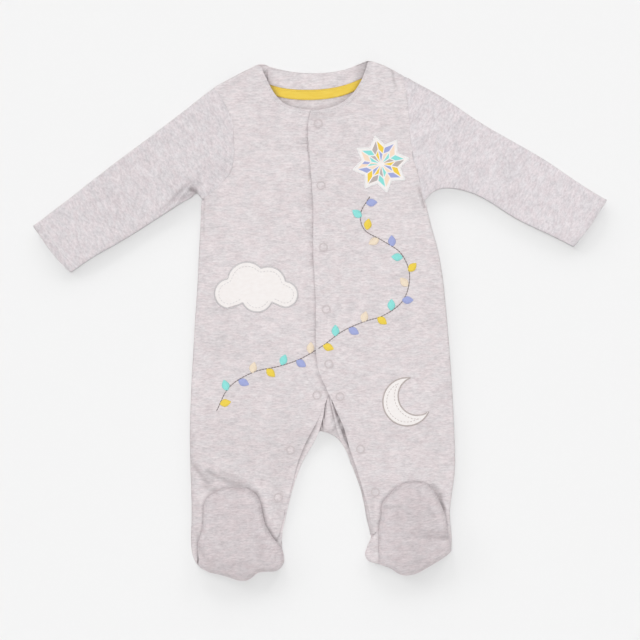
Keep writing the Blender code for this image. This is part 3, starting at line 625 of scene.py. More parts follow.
def stretches(paths):
    """The straight stretches of paths: x and y of both ends, half width, and rise or darkness."""
    for path in paths:
        for k in range(0, len(path) - 2, 4):
            x1, y1, width, amount, x2, y2 = path[k:k + 6]
            yield x1, y1, x2, y2, width, amount


def folded(plan, folds):
    """The sum of the folds, each a soft ridge or trough."""
    lift = np.zeros(len(plan))
    for *ends, width, rise in stretches(folds):
        lift += rise * bell(beside(plan, *ends), width)
    return lift


def swell(plan, seed, height):
    """Slow unevenness of cloth that was smoothed out by hand."""
    draw = np.random.default_rng(seed)
    total = np.zeros(len(plan))
    for _ in range(SWELL_WAVES):
        turn, length = draw.uniform(0, math.tau), draw.uniform(*SWELL_LENGTHS)
        phase = draw.uniform(0, math.tau)
        total += np.sin((plan @ (math.cos(turn), math.sin(turn))) * math.tau / length + phase)
    return height * total / 3


def gusset(plan):
    """How far the cloth between the two strips stands up."""
    x, y = plan.T
    slit, strip_x, rise = (
        np.interp(y, GUSSET["y"][::-1], GUSSET[name][::-1]) for name in ("slit", "strip", "rise")
    )
    return rise * ease((x - slit) / GUSSET_EDGES[0]) * ease((strip_x - x) / GUSSET_EDGES[1])


def relief(points):
    """How far each point of the garment rises: all of it in the upper cloth, a little underneath."""
    plan = points[:, :2]
    upper = ease((points[:, 2] - UPPER_SIDE[0]) / UPPER_SIDE[1])
    lower = 1 - ease((points[:, 2] - LOWER_SIDE[0]) / LOWER_SIDE[1])
    hidden = np.maximum(swell(plan, *LOWER_SWELL) - 0.1, 0) * lower
    return (swell(plan, *UPPER_SWELL) + folded(plan, FOLDS)) * upper + hidden


def none_selected():
    for other in bpy.context.view_layer.objects:
        other.select_set(False)


def alone(piece):
    """Makes a piece the only one selected and the active one."""
    none_selected()
    piece.select_set(True)
    bpy.context.view_layer.objects.active = piece


def places(mesh):
    """A mesh's points, in millimetres."""
    found = np.zeros(len(mesh.vertices) * 3)
    mesh.vertices.foreach_get("co", found)
    return found.reshape(-1, 3) / MM


def set_places(mesh, points):
    mesh.vertices.foreach_set("co", (points * MM).ravel())
    mesh.update()


def linked(name, mesh):
    """A new piece of the scene, with this mesh, light or camera."""
    piece = bpy.data.objects.new(name, mesh)
    bpy.context.scene.collection.objects.link(piece)
    return piece


def across_the_cut(edge, thickness):
    """Whether an edge joins the upper and the lower side of the cloth, at its cut edge."""
    a, b = edge.verts
    along = (b.co - a.co).normalized()
    upright = min(abs(along.dot(a.normal)), abs(along.dot(b.normal)))
    return abs(edge.calc_length() - thickness) < 0.005 and upright > 0.3


def open_shape(node, thickness):
    """A copy of a solid, merged and in quads, its cut edges kept crisp and marked in its faces.

    The upper side's points have 1 and the lower side's 0 in the layer "upper".
    """
    raw = frame["nodes"][node].data
    shape = bmesh.new()
    corners = [shape.verts.new(v.co / MM) for v in raw.vertices]
    for polygon in raw.polygons:
        shape.faces.new([corners[k] for k in polygon.vertices])
    bmesh.ops.remove_doubles(shape, verts=shape.verts, dist=0.001)
    shape.normal_update()
    crossings = {edge for edge in shape.edges if across_the_cut(edge, thickness)}
    cut = {face for edge in crossings for face in edge.link_faces}
    diagonals = [e for e in shape.edges if e not in crossings and len(cut.intersection(e.link_faces)) == 2]
    for face in cut:
        face.material_index = 1
    bmesh.ops.dissolve_edges(shape, edges=diagonals, use_verts=False)
    bmesh.ops.join_triangles(
        shape, faces=[face for face in shape.faces if face.material_index == 0],
        angle_face_threshold=math.radians(14), angle_shape_threshold=math.radians(50),
    )
    crisp = shape.edges.layers.float.new("crease_edge")
    pinned = shape.verts.layers.float.new("crease_vert")
    for edge in shape.edges:
        sides = [face.material_index for face in edge.link_faces]
        turned = edge.calc_face_angle(0) > SHARP_CORNER
        if sum(sides) == 1 or (sum(sides) == 2 and turned):
            edge[crisp] = 1.0
        if sum(sides) == 2 and turned:
            for vert in edge.verts:
                vert[pinned] = 1.0
    for vert in shape.verts:
        if any((vert.co.xy - Vector(corner)).length < CORNER_REACH for corner in CORNERS):
            vert[pinned] = 1.0
    upper = shape.verts.layers.float.new("upper")
    todo = [max(shape.verts, key=lambda vert: vert.co.z)]
    while todo:
        vert = todo.pop()
        if vert[upper] == 0:
            vert[upper] = 1.0
            for face in vert.link_faces:
                if face.material_index == 0:
                    todo.extend(face.verts)
    return shape


def cut_edge(mesh, points, thickness):
    """Moves that round the cut edge over, as a half circle, and which points they are for."""
    count = len(mesh.loops)
    corner, start = np.zeros(count, int), np.zeros(len(mesh.polygons), int)
    chosen, normals = np.zeros(len(mesh.polygons), int), np.zeros(len(mesh.polygons) * 3)
    mesh.loops.foreach_get("vertex_index", corner)
    mesh.polygons.foreach_get("loop_start", start)
    mesh.polygons.foreach_get("material_index", chosen)
    mesh.polygons.foreach_get("normal", normals)
    owner = np.searchsorted(start, np.arange(count), side="right") - 1
    picked = chosen[owner] == 1
    out = np.zeros((len(points), 3))
    np.add.at(out, corner[picked], normals.reshape(-1, 3)[owner[picked]])
    length = np.linalg.norm(out, axis=1)
    rim = length > 0
    out[rim] /= length[rim][:, None]
    share = np.zeros(len(points))
    mesh.attributes["upper"].data.foreach_get("value", share)
    back_off = 1 - np.sqrt(np.clip(1 - (2 * share - 1) ** 2, 0, 1))
    return -out * (thickness / 2 * back_off * rim)[:, None], rim


def paint_shade(piece, key, depth=0.0):
    """Stores how dark shade is painted into each upper point of a piece in a trough or another narrow
    place.
    """
    mesh = piece.data
    plan = places(mesh)[:, :2]
    depth = depth + np.zeros(len(plan))
    folds = stretches(FOLDS + OWN_FOLDS.get(key, []))
    troughs = [(*place, -TROUGH_SHADE * rise) for *place, rise in folds if rise < 0]
    for *ends, width, share in [*troughs, *stretches(PAINTED_SHADE_PATHS.get(key, []))]:
        depth = np.maximum(depth, share * bell(beside(plan, *ends), width))
    facing = np.zeros(len(plan) * 3)
    mesh.vertices.foreach_get("normal", facing)
    depth *= ease(facing[2::3] * 3)
    mesh.attributes.new("hollow", "FLOAT", "POINT").data.foreach_set("value", depth)


def from_edge(points, edge):
    """How far each point lies from the nearest point of a cut edge, in plan."""
    tree = KDTree(len(edge))
    for k, (x, y) in enumerate(edge[:, :2]):
        tree.insert((x, y, 0), k)
    tree.balance()
    return np.array([tree.find((x, y, 0))[2] for x, y in points[:, :2]])


def soft_shell(node, name, slot, thickness=CLOTH, levels=3):
    """A cut piece of cloth with the form of its solid, made fine, creased, its cut edges rounded."""
    shape = open_shape(node, thickness)
    mesh = bpy.data.meshes.new(name)
    shape.to_mesh(mesh)
    shape.free()
    piece = linked(name, mesh)
    alone(piece)
    finer = piece.modifiers.new("finer", "SUBSURF")
    finer.levels = finer.render_levels = levels
    bpy.ops.object.modifier_apply(modifier="finer")
    if node == "back":
        made_finer(piece, CROTCH)
    mesh = piece.data
    points = places(mesh) * MM
    moves, rim = cut_edge(mesh, points, thickness)
    points = points + moves
    points[:, 2] += relief(points)
    if node in OWN_FOLDS:
        points[:, 2] += folded(points[:, :2], OWN_FOLDS[node])
    if node == "back":
        points[:, 2] += gusset(points[:, :2])
    if node == "neck_band":
        points = tucked_under(points, *BAND_END)
    if node == "sleeve_right":
        points[:, 1] += notch(points)
    if slot == "applique":
        points[:, 2] -= np.where(points[:, 2] > np.median(points[rim][:, 2]), *APPLIQUE_SINK)
    # For the soles, seam holds a line of shade painted along the cut edge.
    seam = 0.0
    if node in SOLES:
        away = from_edge(points, points[rim])
        for middle, width, rise in (SOLE_RIDGE, SOLE_GROOVE):
            points[:, 2] += rise * bell(away - middle, width)
        seam = SOLE_SEAM_SHADE[1] * bell(away, SOLE_SEAM_SHADE[0])
    edges[node] = points[rim]
    set_places(mesh, points)
    mesh.polygons.foreach_set("material_index", np.zeros(len(mesh.polygons), int))
    for layer in ("upper", "crease_edge", "crease_vert"):
        if layer in mesh.attributes:
            mesh.attributes.remove(mesh.attributes[layer])
    mesh.shade_smooth()
    paint_shade(piece, node, seam)
    return piece


def notch(points):
    """How much higher the lower edge of the right sleeve is, close to the body."""
    middle, width, rise, end, reach = NOTCH
    return rise * bell(points[:, 0] - middle, width) * ease((end - points[:, 1]) / reach)


def tucked_under(points, start, share, rise):
    """Lengthens the neck band beyond x = start by this share, upwards, so that it ends under the front."""
    ground = Ground("back")
    beyond = np.maximum(points[:, 0] - start, 0) * share
    moved = points + np.outer(beyond, (1, rise, 0))
    moved[:, 2] += np.nan_to_num(ground.height(moved[:, :2]) - ground.height(points[:, :2]))
    return moved


def made_finer(piece, area):
    """Cuts the faces of one part of a cloth into four, for its small folds."""
    x1, y1, x2, y2 = area
    bpy.ops.object.mode_set(mode="EDIT")
    pick(piece, lambda middle, face: x1 < middle.x * MM < x2 and y1 < middle.y * MM < y2)
    bpy.ops.mesh.subdivide(number_cuts=1)
    bpy.ops.object.mode_set(mode="OBJECT")


def tucked(piece, sole):
    """Draws a piece's cloth down beside the rim of a sole, into their seam."""
    points = places(piece.data)
    edge = edges[sole]
    lowest, highest = edge.min(axis=0) - TUCK_AREA, edge.max(axis=0) + TUCK_AREA
    close = ((points > lowest) & (points < highest))[:, :2].all(axis=1)
    near = np.flatnonzero(close & (points[:, 2] > UPPER_CLOTH_Z))
    away = from_edge(points[near], edge)
    points[near, 2] -= TUCK_DEPTH * bell(away, TUCK_REACH)
    set_places(piece.data, points)


def drawn_to(piece, neighbours, seam, width, reach=5.0, overlap=1.0):
    """Draws a piece's edge up to its neighbours, as their seam does, near a line of plan points."""
    points = places(piece.data)
    away = np.min([beside(points[:, :2], *start, *end) for start, end in zip(seam, seam[1:])], axis=0)
    for k in np.flatnonzero(away < width):
        best = reach
        for other in neighbours:
            found, place, _, _ = other.closest_point_on_mesh(points[k] * MM, distance=reach * MM)
            gap = (place - Vector(points[k] * MM)) / MM
            if found and 0 < gap.length < best:
                best, way = gap.length, gap
        if best < reach:
            share = ease((reach - best) / (reach - SEAM_GAP))
            points[k] += np.array(way) / best * (min(best, SEAM_GAP) + overlap) * share
    points[:, 2] = np.maximum(points[:, 2], 0.0)
    set_places(piece.data, points)


def dressed(piece, finish, slot, *nodes):
    """Gives a piece its finish, and the CAD nodes that it stands for. Its slot is not used."""
    if finish:
        piece.data.materials.append(finish)
    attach(piece, "root")
    if nodes:
        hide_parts(*nodes)
    return piece


def line(points, step):
    """A smooth line through points, as new points this far apart."""
    points = np.array(points, float)
    ends = np.concatenate([[2 * points[0] - points[1]], points, [2 * points[-1] - points[-2]]])
    t = np.linspace(0, 1, 24, endpoint=False)[:, None]
    fine = [
        b + ((c - a) * t + (2 * a - 5 * b + 4 * c - d) * t**2 + (3 * b - a - 3 * c + d) * t**3) / 2
        for a, b, c, d in zip(ends, ends[1:], ends[2:], ends[3:])
    ]
    return evenly(np.concatenate([*fine, points[-1:]]), step)


def lengths_along(points):
    """How far along their line each point lies."""
    return np.concatenate([[0], np.cumsum(np.linalg.norm(np.diff(points, axis=0), axis=1))])


def evenly(points, step):
    """A line's points anew, this far apart."""
    marks = lengths_along(points)
    at = np.linspace(0, marks[-1], max(2, round(marks[-1] / step) + 1))
    return np.stack([np.interp(at, marks, axis) for axis in points.T], axis=1)


def rotated(plan, turn):
    """Plan points turned about the middle."""
    cos, sin = math.cos(turn), math.sin(turn)
    return plan @ [[cos, sin], [-sin, cos]]


def ways(turns):
    """Plan steps of length 1, in these directions."""
    return np.stack([np.cos(turns), np.sin(turns)], axis=1)


def closed(outline):
    """An outline with its first point once more at the end."""
    return np.concatenate([outline, outline[:1]])


def inside(points, distance):
    """A line moved sideways, to its left."""
    way = np.gradient(points, axis=0)
    way /= np.linalg.norm(way, axis=1)[:, None]
    return points + distance * np.stack([-way[:, 1], way[:, 0]], axis=1)


def stitch_spots(edge, inset, left_out=0):
    """Places for stitches along an edge, this far inside it, with some of both ends left out."""
    path = inside(line(edge, 1.0), inset)
    return spots_along(path[left_out:len(path) - left_out], SEAM_PITCH)


def spots_along(points, pitch):
    """Places a pitch apart along a line: x, y and the line's direction there."""
    points = evenly(points, pitch)
    way = np.diff(points, axis=0)
    return np.column_stack([(points[1:] + points[:-1]) / 2, np.arctan2(way[:, 1], way[:, 0])])


class Ground:
    """Finished cloth, for what is sewn on it."""

    def __init__(self, *nodes):
        graph = bpy.context.evaluated_depsgraph_get()
        self.trees = [BVHTree.FromObject(cloths[node], graph) for node in nodes]

    def height(self, plan, side=1):
        """The height of the outermost cloth at plan points, from above, or from below where side is -1."""
        found = np.full(len(plan), np.nan)
        for k, (x, y) in enumerate(plan):
            start = Vector((x, y, WELL_ABOVE * side)) * MM
            hits = [tree.ray_cast(start, Vector((0, 0, -side)))[0] for tree in self.trees]
            levels = [hit.z / MM * side for hit in hits if hit]
            if levels:
                found[k] = max(levels) * side
        return found


def new_mesh(name, points, faces):
    """A mesh of points in millimetres."""
    mesh = bpy.data.meshes.new(name)
    mesh.from_pydata((points * MM).tolist(), [], faces)
    return mesh


def woven_mesh(name, points, faces, uv):
    """A mesh for thread, with u and v in millimetres for each face corner."""
    mesh = new_mesh(name, points, faces)
    mesh.uv_layers.new(name="thread").data.foreach_set("uv", (np.asarray(uv) * MM).ravel())
    mesh.shade_smooth()
    return mesh


class Model:
    """A small thing made once, to be sewn on many times."""

    def __init__(self, piece, slant=0.0):
        self.points = places(piece.data)
        self.faces = [tuple(polygon.vertices) for polygon in piece.data.polygons]
        self.uv = np.stack([self.points[:, 0] - slant * abs(self.points[:, 1]), self.points[:, 1]], axis=1)
        bpy.data.objects.remove(piece)

    def sewn(self, name, spots, ground, finish, slot, side=1):
        """Copies as one piece, one at each spot: x, y and turn. Every point follows the cloth under it."""
        points, faces, uv = [], [], []
        for x, y, turn in spots:
            plan = rotated(self.points[:, :2], turn) + (x, y)
            base = ground.height(plan, side)
            if not np.ptp(base) < STEEPEST:
                continue
            first = len(points) * len(self.points)
            points.append(np.column_stack([plan, base + self.points[:, 2] * side]))
            for face in self.faces:
                faces.append([first + k for k in face[::side]])
                uv.extend(self.uv[list(face[::side])])
        return dressed(linked(name, woven_mesh(name, np.concatenate(points), faces, uv)), finish, slot)


def new_shape(operator, **settings):
    """Adds a primitive, alone and selected, and opens it in edit mode."""
    none_selected()
    operator(**settings)
    bpy.ops.object.mode_set(mode="EDIT")
    bpy.ops.mesh.select_mode(type="FACE")
    return bpy.context.active_object


def pick(piece, wanted, kind="faces"):
    """Selects, in edit mode, the faces or edges whose middle, in millimetres, is wanted."""
    shape = bmesh.from_edit_mesh(piece.data)
    bpy.ops.mesh.select_mode(type="FACE" if kind == "faces" else "EDGE")
    bpy.ops.mesh.select_all(action="DESELECT")
    for part in getattr(shape, kind):
        middle = sum((vert.co for vert in part.verts), Vector()) / len(part.verts) / MM
        if wanted(middle, part):
            part.select_set(True)
    bmesh.update_edit_mesh(piece.data)


def closed_shape(piece, smooth_angle=50):
    """Leaves edit mode with the faces outwards, and puts the piece's place into its mesh."""
    bpy.ops.mesh.select_all(action="SELECT")
    bpy.ops.mesh.normals_make_consistent(inside=False)
    bpy.ops.object.mode_set(mode="OBJECT")
    bpy.ops.object.transform_apply(location=True, rotation=True, scale=True)
    bpy.ops.object.shade_smooth_by_angle(angle=math.radians(smooth_angle))
    return piece


def stitch(length, width):
    """A short strand of thread that dips into the cloth at both ends."""
    piece = new_shape(
        bpy.ops.mesh.primitive_cylinder_add, vertices=6, radius=width / 2 * MM, depth=length * MM,
        rotation=(0, math.pi / 2, 0),
    )
    for share in (-0.36, -0.15, 0.15, 0.36):
        bpy.ops.mesh.select_all(action="SELECT")
        bpy.ops.mesh.bisect(plane_co=(share * length * MM, 0, 0), plane_no=(1, 0, 0))
    closed_shape(piece)
    points = places(piece.data)
    share = abs(points[:, 0]) / (length / 2)
    points[:, 1:] *= (1 - 0.55 * share**3)[:, None]
    points[:, 2] += width * (0.32 - 0.5 * share**2)
    set_places(piece.data, points)
    return piece


def leaf(length, width):
    """A puffed leaf, pointed at both ends, with a crease down its middle. It grows from its base."""
    piece = new_shape(
        bpy.ops.mesh.primitive_uv_sphere_add, segments=14, ring_count=9, radius=length / 2 * MM,
        rotation=(0, math.pi / 2, 0),
    )
    bpy.ops.transform.resize(value=(1, width / length, 0.14))
    closed_shape(piece)
    points = places(piece.data)
    share = points[:, 0] / (length / 2)
    points[:, 1] *= 1.15 * (1 - 0.55 * share**2) * (1 - 0.18 * share)
    points[:, 2] += 0.25 - 0.3 * bell(points[:, 1], 0.5) * (points[:, 2] > 0)
    points[:, 0] += length / 2
    set_places(piece.data, points)
    return piece


SNAP_R = 4.8
SNAP_H = 1.2
SNAP_RING = 1.15  # width of the ring
SNAP_ROUND = 0.42  # roundness of its edges
SNAP_WELL = 0.55  # depth of the well inside it
SNAP_DOME_R = 3.5  # radius of the cloth's dome in its middle
SNAP_DOME = ((0.15, 0.0), (0.7, 0.42), (1.0, 0.24), (1.0, 0.06))  # the dome's steps inwards, and up
SNAP_SPAN = 4  # how far from its middle the cloth tilts it
SNAP_SINK = 0.15  # how deep it is pressed in


def rims_of_ring(middle, edge):
    """Whether an edge runs round the popper's ring, on its upper side."""
    near, far = (vert.co.xy.length for vert in edge.verts)
    on_top = all(vert.co.z > (SNAP_H - 0.01) * MM for vert in edge.verts)
    return on_top and middle.xy.length > SNAP_DOME_R - 0.1 and abs(near - far) < 0.1 * MM


def ring_snap(ring, cloth):
    """A popper: a rounded metal ring pressed round a small dome of the jersey itself."""
    piece = new_shape(
        bpy.ops.mesh.primitive_cylinder_add, vertices=32, radius=SNAP_R * MM, depth=SNAP_H * MM,
        location=(0, 0, SNAP_H / 2 * MM),
    )
    pick(piece, lambda middle, face: face.normal.z > 0.9)
    bpy.ops.mesh.inset(thickness=SNAP_RING * MM)
    bpy.ops.mesh.extrude_region_move(TRANSFORM_OT_translate={"value": (0, 0, -SNAP_WELL * MM)})
    for thickness, rise in SNAP_DOME:
        bpy.ops.mesh.inset(thickness=thickness * MM)
        bpy.ops.transform.translate(value=(0, 0, rise * MM))
    pick(piece, rims_of_ring, "edges")
    bpy.ops.mesh.bevel(offset=SNAP_ROUND * MM, segments=3, affect="EDGES")
    closed_shape(piece, 35)
    piece.data.materials.append(ring)
    piece.data.materials.append(cloth)
    for polygon in piece.data.polygons:
        in_dome = polygon.center.xy.length < SNAP_DOME_R * MM
        polygon.material_index = int(in_dome and polygon.normal.z > 0.5)
    return piece


def pressed_in(node, snap, ground):
    """A copy of the popper in a node's place, tilted with the cloth that it is pressed through."""
    low, high = (np.array(corner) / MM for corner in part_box(node))
    x, y = (low + high)[:2] / 2
    around = np.array([(1, 0), (-1, 0), (0, 1), (0, -1)]) * SNAP_SPAN + (x, y)
    right, left, up, down = ground.height(around)
    upright = Vector(((left - right) / (2 * SNAP_SPAN), (down - up) / (2 * SNAP_SPAN), 1))
    tilt = upright.to_track_quat("Z", "Y").to_matrix().to_4x4()
    mesh = snap.data.copy()
    level = (right + left + up + down) / 4 - SNAP_SINK
    mesh.transform(Matrix.Translation(Vector((x, y, level)) * MM) @ tilt)
    return dressed(linked(node.replace("popper", "snap"), mesh), None, "popper", node)


def satin(name, outline, ground, width, height, finish):
    """Closely laid stitches over the edge of an applique: a low round band that follows the cloth."""
    middle = evenly(closed(outline), SATIN_PITCH)[:-1]
    marks = lengths_along(closed(middle))
    way = np.roll(middle, -1, axis=0) - np.roll(middle, 1, axis=0)
    out = np.stack([way[:, 1], -way[:, 0]], axis=1) / np.linalg.norm(way, axis=1)[:, None]
    draw = np.random.default_rng(len(middle))
    reach = width / 2 * (1 + draw.uniform(-SATIN_UNEVEN, SATIN_UNEVEN, len(middle)))[:, None]
    sides = [ground.height(middle + out * reach * share) for share in (-1.0, 1.0)]
    low, high = (sum(np.roll(side, k) for k in range(-2, 3)) / 5 for side in sides)
    over = np.linspace(-1, 1, 9)
    foot, sink = SATIN_FOOT
    across = np.concatenate([over, [foot, -foot]])
    bulge = np.concatenate([height * np.sqrt(1 - over**2), [-sink, -sink]])
    rows = []
    for share, rise in zip(across, bulge):
        level = low + (high - low) * (share + 1) / 2 + rise
        rows.append(np.column_stack([middle + out * reach * share, level]))
    points = np.stack(rows, axis=1)
    count, around = len(middle), len(across)
    faces, uv = [], []
    for k in range(count):
        for j in range(around):
            corners = ((k, j), (k, (j + 1) % around), (k + 1, (j + 1) % around), (k + 1, j))
            faces.append([(a % count) * around + b for a, b in corners])
            uv.extend((marks[a], across[b] * width / 2) for a, b in corners)
    mesh = woven_mesh(name, points.reshape(-1, 3), faces, uv)
    return dressed(linked(name, outwards(mesh)), finish, "applique")


def outwards(mesh):
    """Turns the faces of a closed mesh outwards."""
    shape = bmesh.new()
    shape.from_mesh(mesh)
    bmesh.ops.recalc_face_normals(shape, faces=shape.faces)
    shape.to_mesh(mesh)
    shape.free()
    return mesh


def strip(name, rows, ground, finish):
    """The faced edge of an open inner leg: a narrow strip lying on the back cloth."""
    rows = line(np.column_stack([rows[key] for key in ("y", "inner", "outer", "inner_z", "outer_z")]), 1.3)
    share = np.linspace(0, 1, 9)
    y, inner, outer, inner_z, outer_z = (column[:, None] for column in rows.T)
    points = np.stack(np.broadcast_arrays(
        inner + (outer - inner) * share, y, inner_z + (outer_z - inner_z) * share,
    ), axis=2).reshape(-1, 3)
    points[:, 2] = np.fmax(points[:, 2], ground.height(points[:, :2]) + STRIP_LIFT)
    wide = len(share)
    faces = [
        (k * wide + j, k * wide + j + 1, (k + 1) * wide + j + 1, (k + 1) * wide + j)
        for k in range(len(rows) - 1) for j in range(wide - 1)
    ]
    piece = linked(name, new_mesh(name, points, faces))
    alone(piece)
    doubled = piece.modifiers.new("doubled", "SOLIDIFY")
    doubled.thickness, doubled.offset = STRIP_THICKNESS * MM, 0
    rounded = piece.modifiers.new("rounded", "BEVEL")
    rounded.width, rounded.segments, rounded.angle_limit = STRIP_ROUND * MM, 3, math.radians(50)
    for modifier in ("doubled", "rounded"):
        bpy.ops.object.modifier_apply(modifier=modifier)
    outwards(piece.data)
    piece.data.shade_smooth()
    paint_shade(piece, name)
    return dressed(piece, finish, "jersey")


CLOUD_LOBES = [(-98, 27, 16), (-79, 40, 21), (-56, 37, 19), (-38, 26, 14), (-68, 24, 17)]  # x, y, radius


def cloud():
    """The cloud's outer line: several round lobes, seen from their middle."""
    x, y, r = np.array(CLOUD_LOBES).T
    centre = np.array([x.mean(), y.mean() - 4])
    turns = np.linspace(0, math.tau, 180, endpoint=False)
    ray = ways(turns)
    across = ray @ np.stack([x - centre[0], y - centre[1]])
    apart2 = (x - centre[0]) ** 2 + (y - centre[1]) ** 2 - across**2
    reach = across + np.sqrt(np.maximum(r**2 - apart2, 0))
    reach[apart2 > r**2] = 0
    return centre + ray * reach.max(axis=1)[:, None]


def star():
    """The star's outer line, from point to notch and on."""
    turns = np.linspace(0, math.tau, 2 * STAR_POINTS, endpoint=False) + STAR_TURN
    reach = np.where(np.arange(2 * STAR_POINTS) % 2 == 0, STAR_R, STAR_NOTCH_R)
    return np.array(STAR_AT) + ways(turns) * reach[:, None]


MOON_AT = (94.0, -90.0)
MOON_R = 26.0
MOON_BITE_R = 21.0
MOON_SHIFT = 13.0
MOON_TURN = 0.5


def moon():
    """A disc with a smaller disc bitten out of it: from horn to horn outside, and back inside."""
    horn_x = (MOON_R**2 - MOON_BITE_R**2 + MOON_SHIFT**2) / (2 * MOON_SHIFT)
    horn_y = math.sqrt(MOON_R**2 - horn_x**2)
    outer, inner = math.atan2(horn_y, horn_x), math.atan2(horn_y, horn_x - MOON_SHIFT)
    bite = arc(MOON_BITE_R, math.tau - inner, inner)[1:-1] + (MOON_SHIFT, 0)
    points = np.concatenate([arc(MOON_R, outer, math.tau - outer), bite])
    return np.array(MOON_AT) + rotated(points, MOON_TURN)


def arc(radius, start, end):
    """Part of a circle about the middle."""
    return radius * ways(np.linspace(start, end, 60))


marl = jersey("marl_jersey")
marl_right = jersey("marl_jersey_right_sleeve", *RIGHT_SLEEVE_GRAIN, run=0.7, wide=1.35)
marl_left = jersey("marl_jersey_left_sleeve", *LEFT_SLEEVE_GRAIN, run=0.7, wide=1.35)
marl_foot = jersey("marl_jersey_feet", *FOOT_GRAIN_AND_PAINTED_SHADE)
white = white_cloth("white_jersey")
tape = twill("yellow_twill")
patches = patchwork("patchwork_print")

# Each cloth piece: node, finish, slot, cut width and length, cut area, what it lies on.
CLOTHS = (
    ("back", marl, "jersey", (0.290, 0.567), 0.1285, ["table_top"]),
    ("front_right", marl, "jersey", (0.163, 0.552), 0.0672, ["back_cloth"]),
    ("front_left", marl, "jersey", (0.163, 0.547), 0.0608, ["back_cloth", "front_right_cloth"]),
    ("sleeve_right", marl_right, "jersey", (0.200, 0.242), 0.0358, ["table_top"]),
    ("sleeve_left", marl_left, "jersey", (0.184, 0.245), 0.0333, ["table_top"]),
    ("foot_upper_right", marl, "jersey", (0.078, 0.088), 0.0051, ["front_right_cloth"]),
    ("foot_upper_left", marl, "jersey", (0.092, 0.090), 0.0054, ["front_left_cloth"]),
    ("foot_sole_right", marl_foot, "jersey", (0.096, 0.104), 0.0072, ["foot_upper_right_cloth"]),
    ("foot_sole_left", marl_foot, "jersey", (0.083, 0.104), 0.0065, ["foot_upper_left_cloth"]),
    ("neck_band", marl, "jersey", (0.112, 0.0195), 0.0019, ["back_cloth"]),
    ("neck_tape", tape, "neck_tape", (0.107, 0.0112), 0.00107, ["back_cloth"]),
    ("applique_cloud", white, "applique", (0.090, 0.054), 0.0033, ["front_right_cloth"]),
    ("applique_star", patches, "applique", (0.061, 0.061), 0.0020, ["front_left_cloth"]),
    ("applique_moon", white, "applique", (0.050, 0.052), 0.00102, ["front_left_cloth"]),
)

SOLES = ("foot_sole_right", "foot_sole_left")
cloths = {}
edges = {}  # the points of each cloth's cut edge
for node, finish, slot, flat, area, rests_on in CLOTHS:
    thickness = TRIM if slot in ("neck_tape", "applique") else CLOTH
    made = dressed(soft_shell(node, node + "_cloth", slot, thickness), finish, slot, node)
    cloths[node] = made

bpy.context.view_layer.update()
fronts = [cloths["front_right"], cloths["front_left"], cloths["back"]]
drawn_to(cloths["sleeve_right"], fronts, ARMHOLE_RIGHT, 9)
drawn_to(cloths["sleeve_left"], fronts, ARMHOLE_LEFT, 9)
drawn_to(cloths["neck_tape"], [cloths["neck_band"]], TAPE_LINE, 14, reach=2.0, overlap=0.3)
drawn_to(cloths["foot_upper_left"], [cloths["foot_sole_left"]], HEEL_LEFT, 3, reach=3.0)
for side in ("right", "left"):
    for node in ("front_" + side, "foot_upper_" + side, "back"):
        tucked(cloths[node], "foot_sole_" + side)
bpy.context.view_layer.update()

# The faced edges of the open inner legs.
back_ground = Ground("back")
for side, rows, flat, area in (
    ("right", STRIP_RIGHT, (0.013, 0.168), 0.00150), ("left", STRIP_LEFT, (0.0115, 0.165), 0.00125),
):
    made = strip("leg_strip_" + side, rows, back_ground, marl)

# Poppers, embroidery and sewing.
fronts_ground = Ground("front_right", "front_left", "applique_cloud", "applique_star", "applique_moon")
snap = ring_snap(enamel("popper_enamel"), marl)
for number in range(1, 12):
    pressed_in(f"popper_{number:02}", snap, fronts_ground)
bpy.data.objects.remove(snap)

grey_thread, taupe_thread = thread("grey_thread", GREY), thread("taupe_thread", TAUPE)
for name, outline, width, finish in (
    ("cloud_rim", cloud(), 1.7, grey_thread), ("star_rim", star(), 1.7, thread("white_thread", WHITE)),
    ("moon_rim", moon(), 1.5, taupe_thread),
):
    satin(name, outline, fronts_ground, width, SATIN_HEIGHT, finish)
# Running stitches inside the rims of the cloud and the moon.
running_stitch = Model(stitch(*RUNNING_STITCH))
for name, outline, inset, finish in (
    ("cloud_stitches", cloud(), 4.5, grey_thread), ("moon_stitches", moon(), 4.0, taupe_thread),
):
    spots = spots_along(inside(closed(outline), inset), RUNNING_PITCH)
    apart = np.linalg.norm(spots[:, None, :2] - evenly(outline, 0.5)[None], axis=2).min(axis=1)
    running_stitch.sewn(name, spots[apart > inset - 0.4], fronts_ground, finish, "applique")

brown = thread("brown_thread", BROWN)
stem_line = line(STEM, 0.5)
stem_spots = spots_along(stem_line, STEM_STITCH[0])
Model(stitch(*STEM_STITCH)).sewn("stem", stem_spots, fronts_ground, brown, "applique")
leaf_spots = [
    (x, y, turn + (LEAF_TURN if k % 2 else -LEAF_TURN))
    for k, (x, y, turn) in enumerate(spots_along(stem_line, LEAF_PITCH))
]
for number, (name, colour) in enumerate(LEAF_COLOURS):
    Model(leaf(LEAF_LENGTH, LEAF_WIDTH), slant=0.9).sewn(
        "leaves_" + name, leaf_spots[number::len(LEAF_COLOURS)], fronts_ground,
        thread(name + "_floss", colour), "applique",
    )

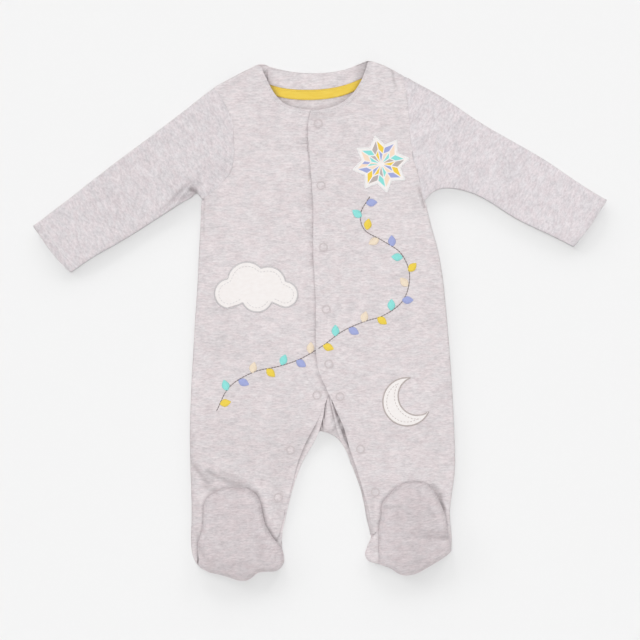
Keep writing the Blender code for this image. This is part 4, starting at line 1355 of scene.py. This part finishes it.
# Stitches in the hems, at the neck and along the tape.
seam_thread = thread("seam_thread", SEAM_GREY, FINE_STRAND)
seam_stitch = Model(stitch(*SEAM_STITCH))
sleeves_ground = Ground("sleeve_right", "sleeve_left")
for name, edge in (("cuff_right", CUFF_RIGHT), ("cuff_left", CUFF_LEFT)):
    spots = stitch_spots(edge, HEM, left_out=3)
    for view, side in (("over", 1), ("under", -1)):
        seam_stitch.sewn(f"{name}_hem_{view}", spots, sleeves_ground, seam_thread, "jersey", side)
for side, edge, inset in (("right", NECK_RIGHT, -NECK_INSET), ("left", NECK_LEFT, NECK_INSET)):
    spots = stitch_spots(edge, inset)
    seam_stitch.sewn("neck_stitches_" + side, spots, fronts_ground, seam_thread, "jersey")
gold = thread("gold_thread", GOLD, FINE_STRAND)
tape_ground = Ground("neck_tape")
for name, edge, inset in zip(("upper", "lower"), (TAPE_TOP, TAPE_BOTTOM), TAPE_INSETS):
    seam_stitch.sewn("tape_stitches_" + name, stitch_spots(edge, inset), tape_ground, gold, "neck_tape")

# The table that the garment lies on.
bpy.ops.mesh.primitive_plane_add(size=TABLE_SIZE, location=(0, 0, TABLE_Z * MM))
table_top = bpy.context.active_object
table_top.name = "table_top"
table_top.data.materials.append(paper("pale_paper"))


def soft_light(name, towards, power, width):
    """A large even light, far away in one direction, as wide as this in degrees."""
    sun = bpy.data.lights.new(name, "SUN")
    sun.energy = power
    sun.angle = math.radians(width)
    lamp = linked(name, sun)
    lamp.rotation_euler = (-Vector(towards)).to_track_quat("-Z", "Y").to_euler()
    return lamp


# The table has lights of its own: low ones lay a long soft shadow beside the garment.
table_only, all_else = bpy.data.collections.new("table_only"), bpy.data.collections.new("all_else")
table_only.objects.link(table_top)
all_else.objects.link(table_top)
all_else.collection_objects[0].light_linking.link_state = "EXCLUDE"
for name, light, lit in (
    ("window", WINDOW, None), ("fill", FILL, None), ("ceiling", CEILING, all_else),
    ("table_left", TABLE_LEFT, table_only), ("table_back", TABLE_BACK, table_only),
    ("table_right", TABLE_RIGHT, table_only), ("table_high", TABLE_HIGH, table_only),
):
    soft_light(name, *light).light_linking.receiver_collection = lit

world = bpy.data.worlds.new("studio")
bpy.context.scene.world = world
world.use_nodes = True
world.node_tree.nodes["Background"].inputs["Color"].default_value = (1, 1, 1, 1)
world.node_tree.nodes["Background"].inputs["Strength"].default_value = ROOM_LIGHT

camera = bpy.data.cameras.new("camera")
camera.lens = CAMERA_LENS
holder = linked("camera", camera)
holder.location = CAMERA_AT
bpy.context.scene.camera = holder
bpy.context.scene.view_settings.view_transform = "Standard"
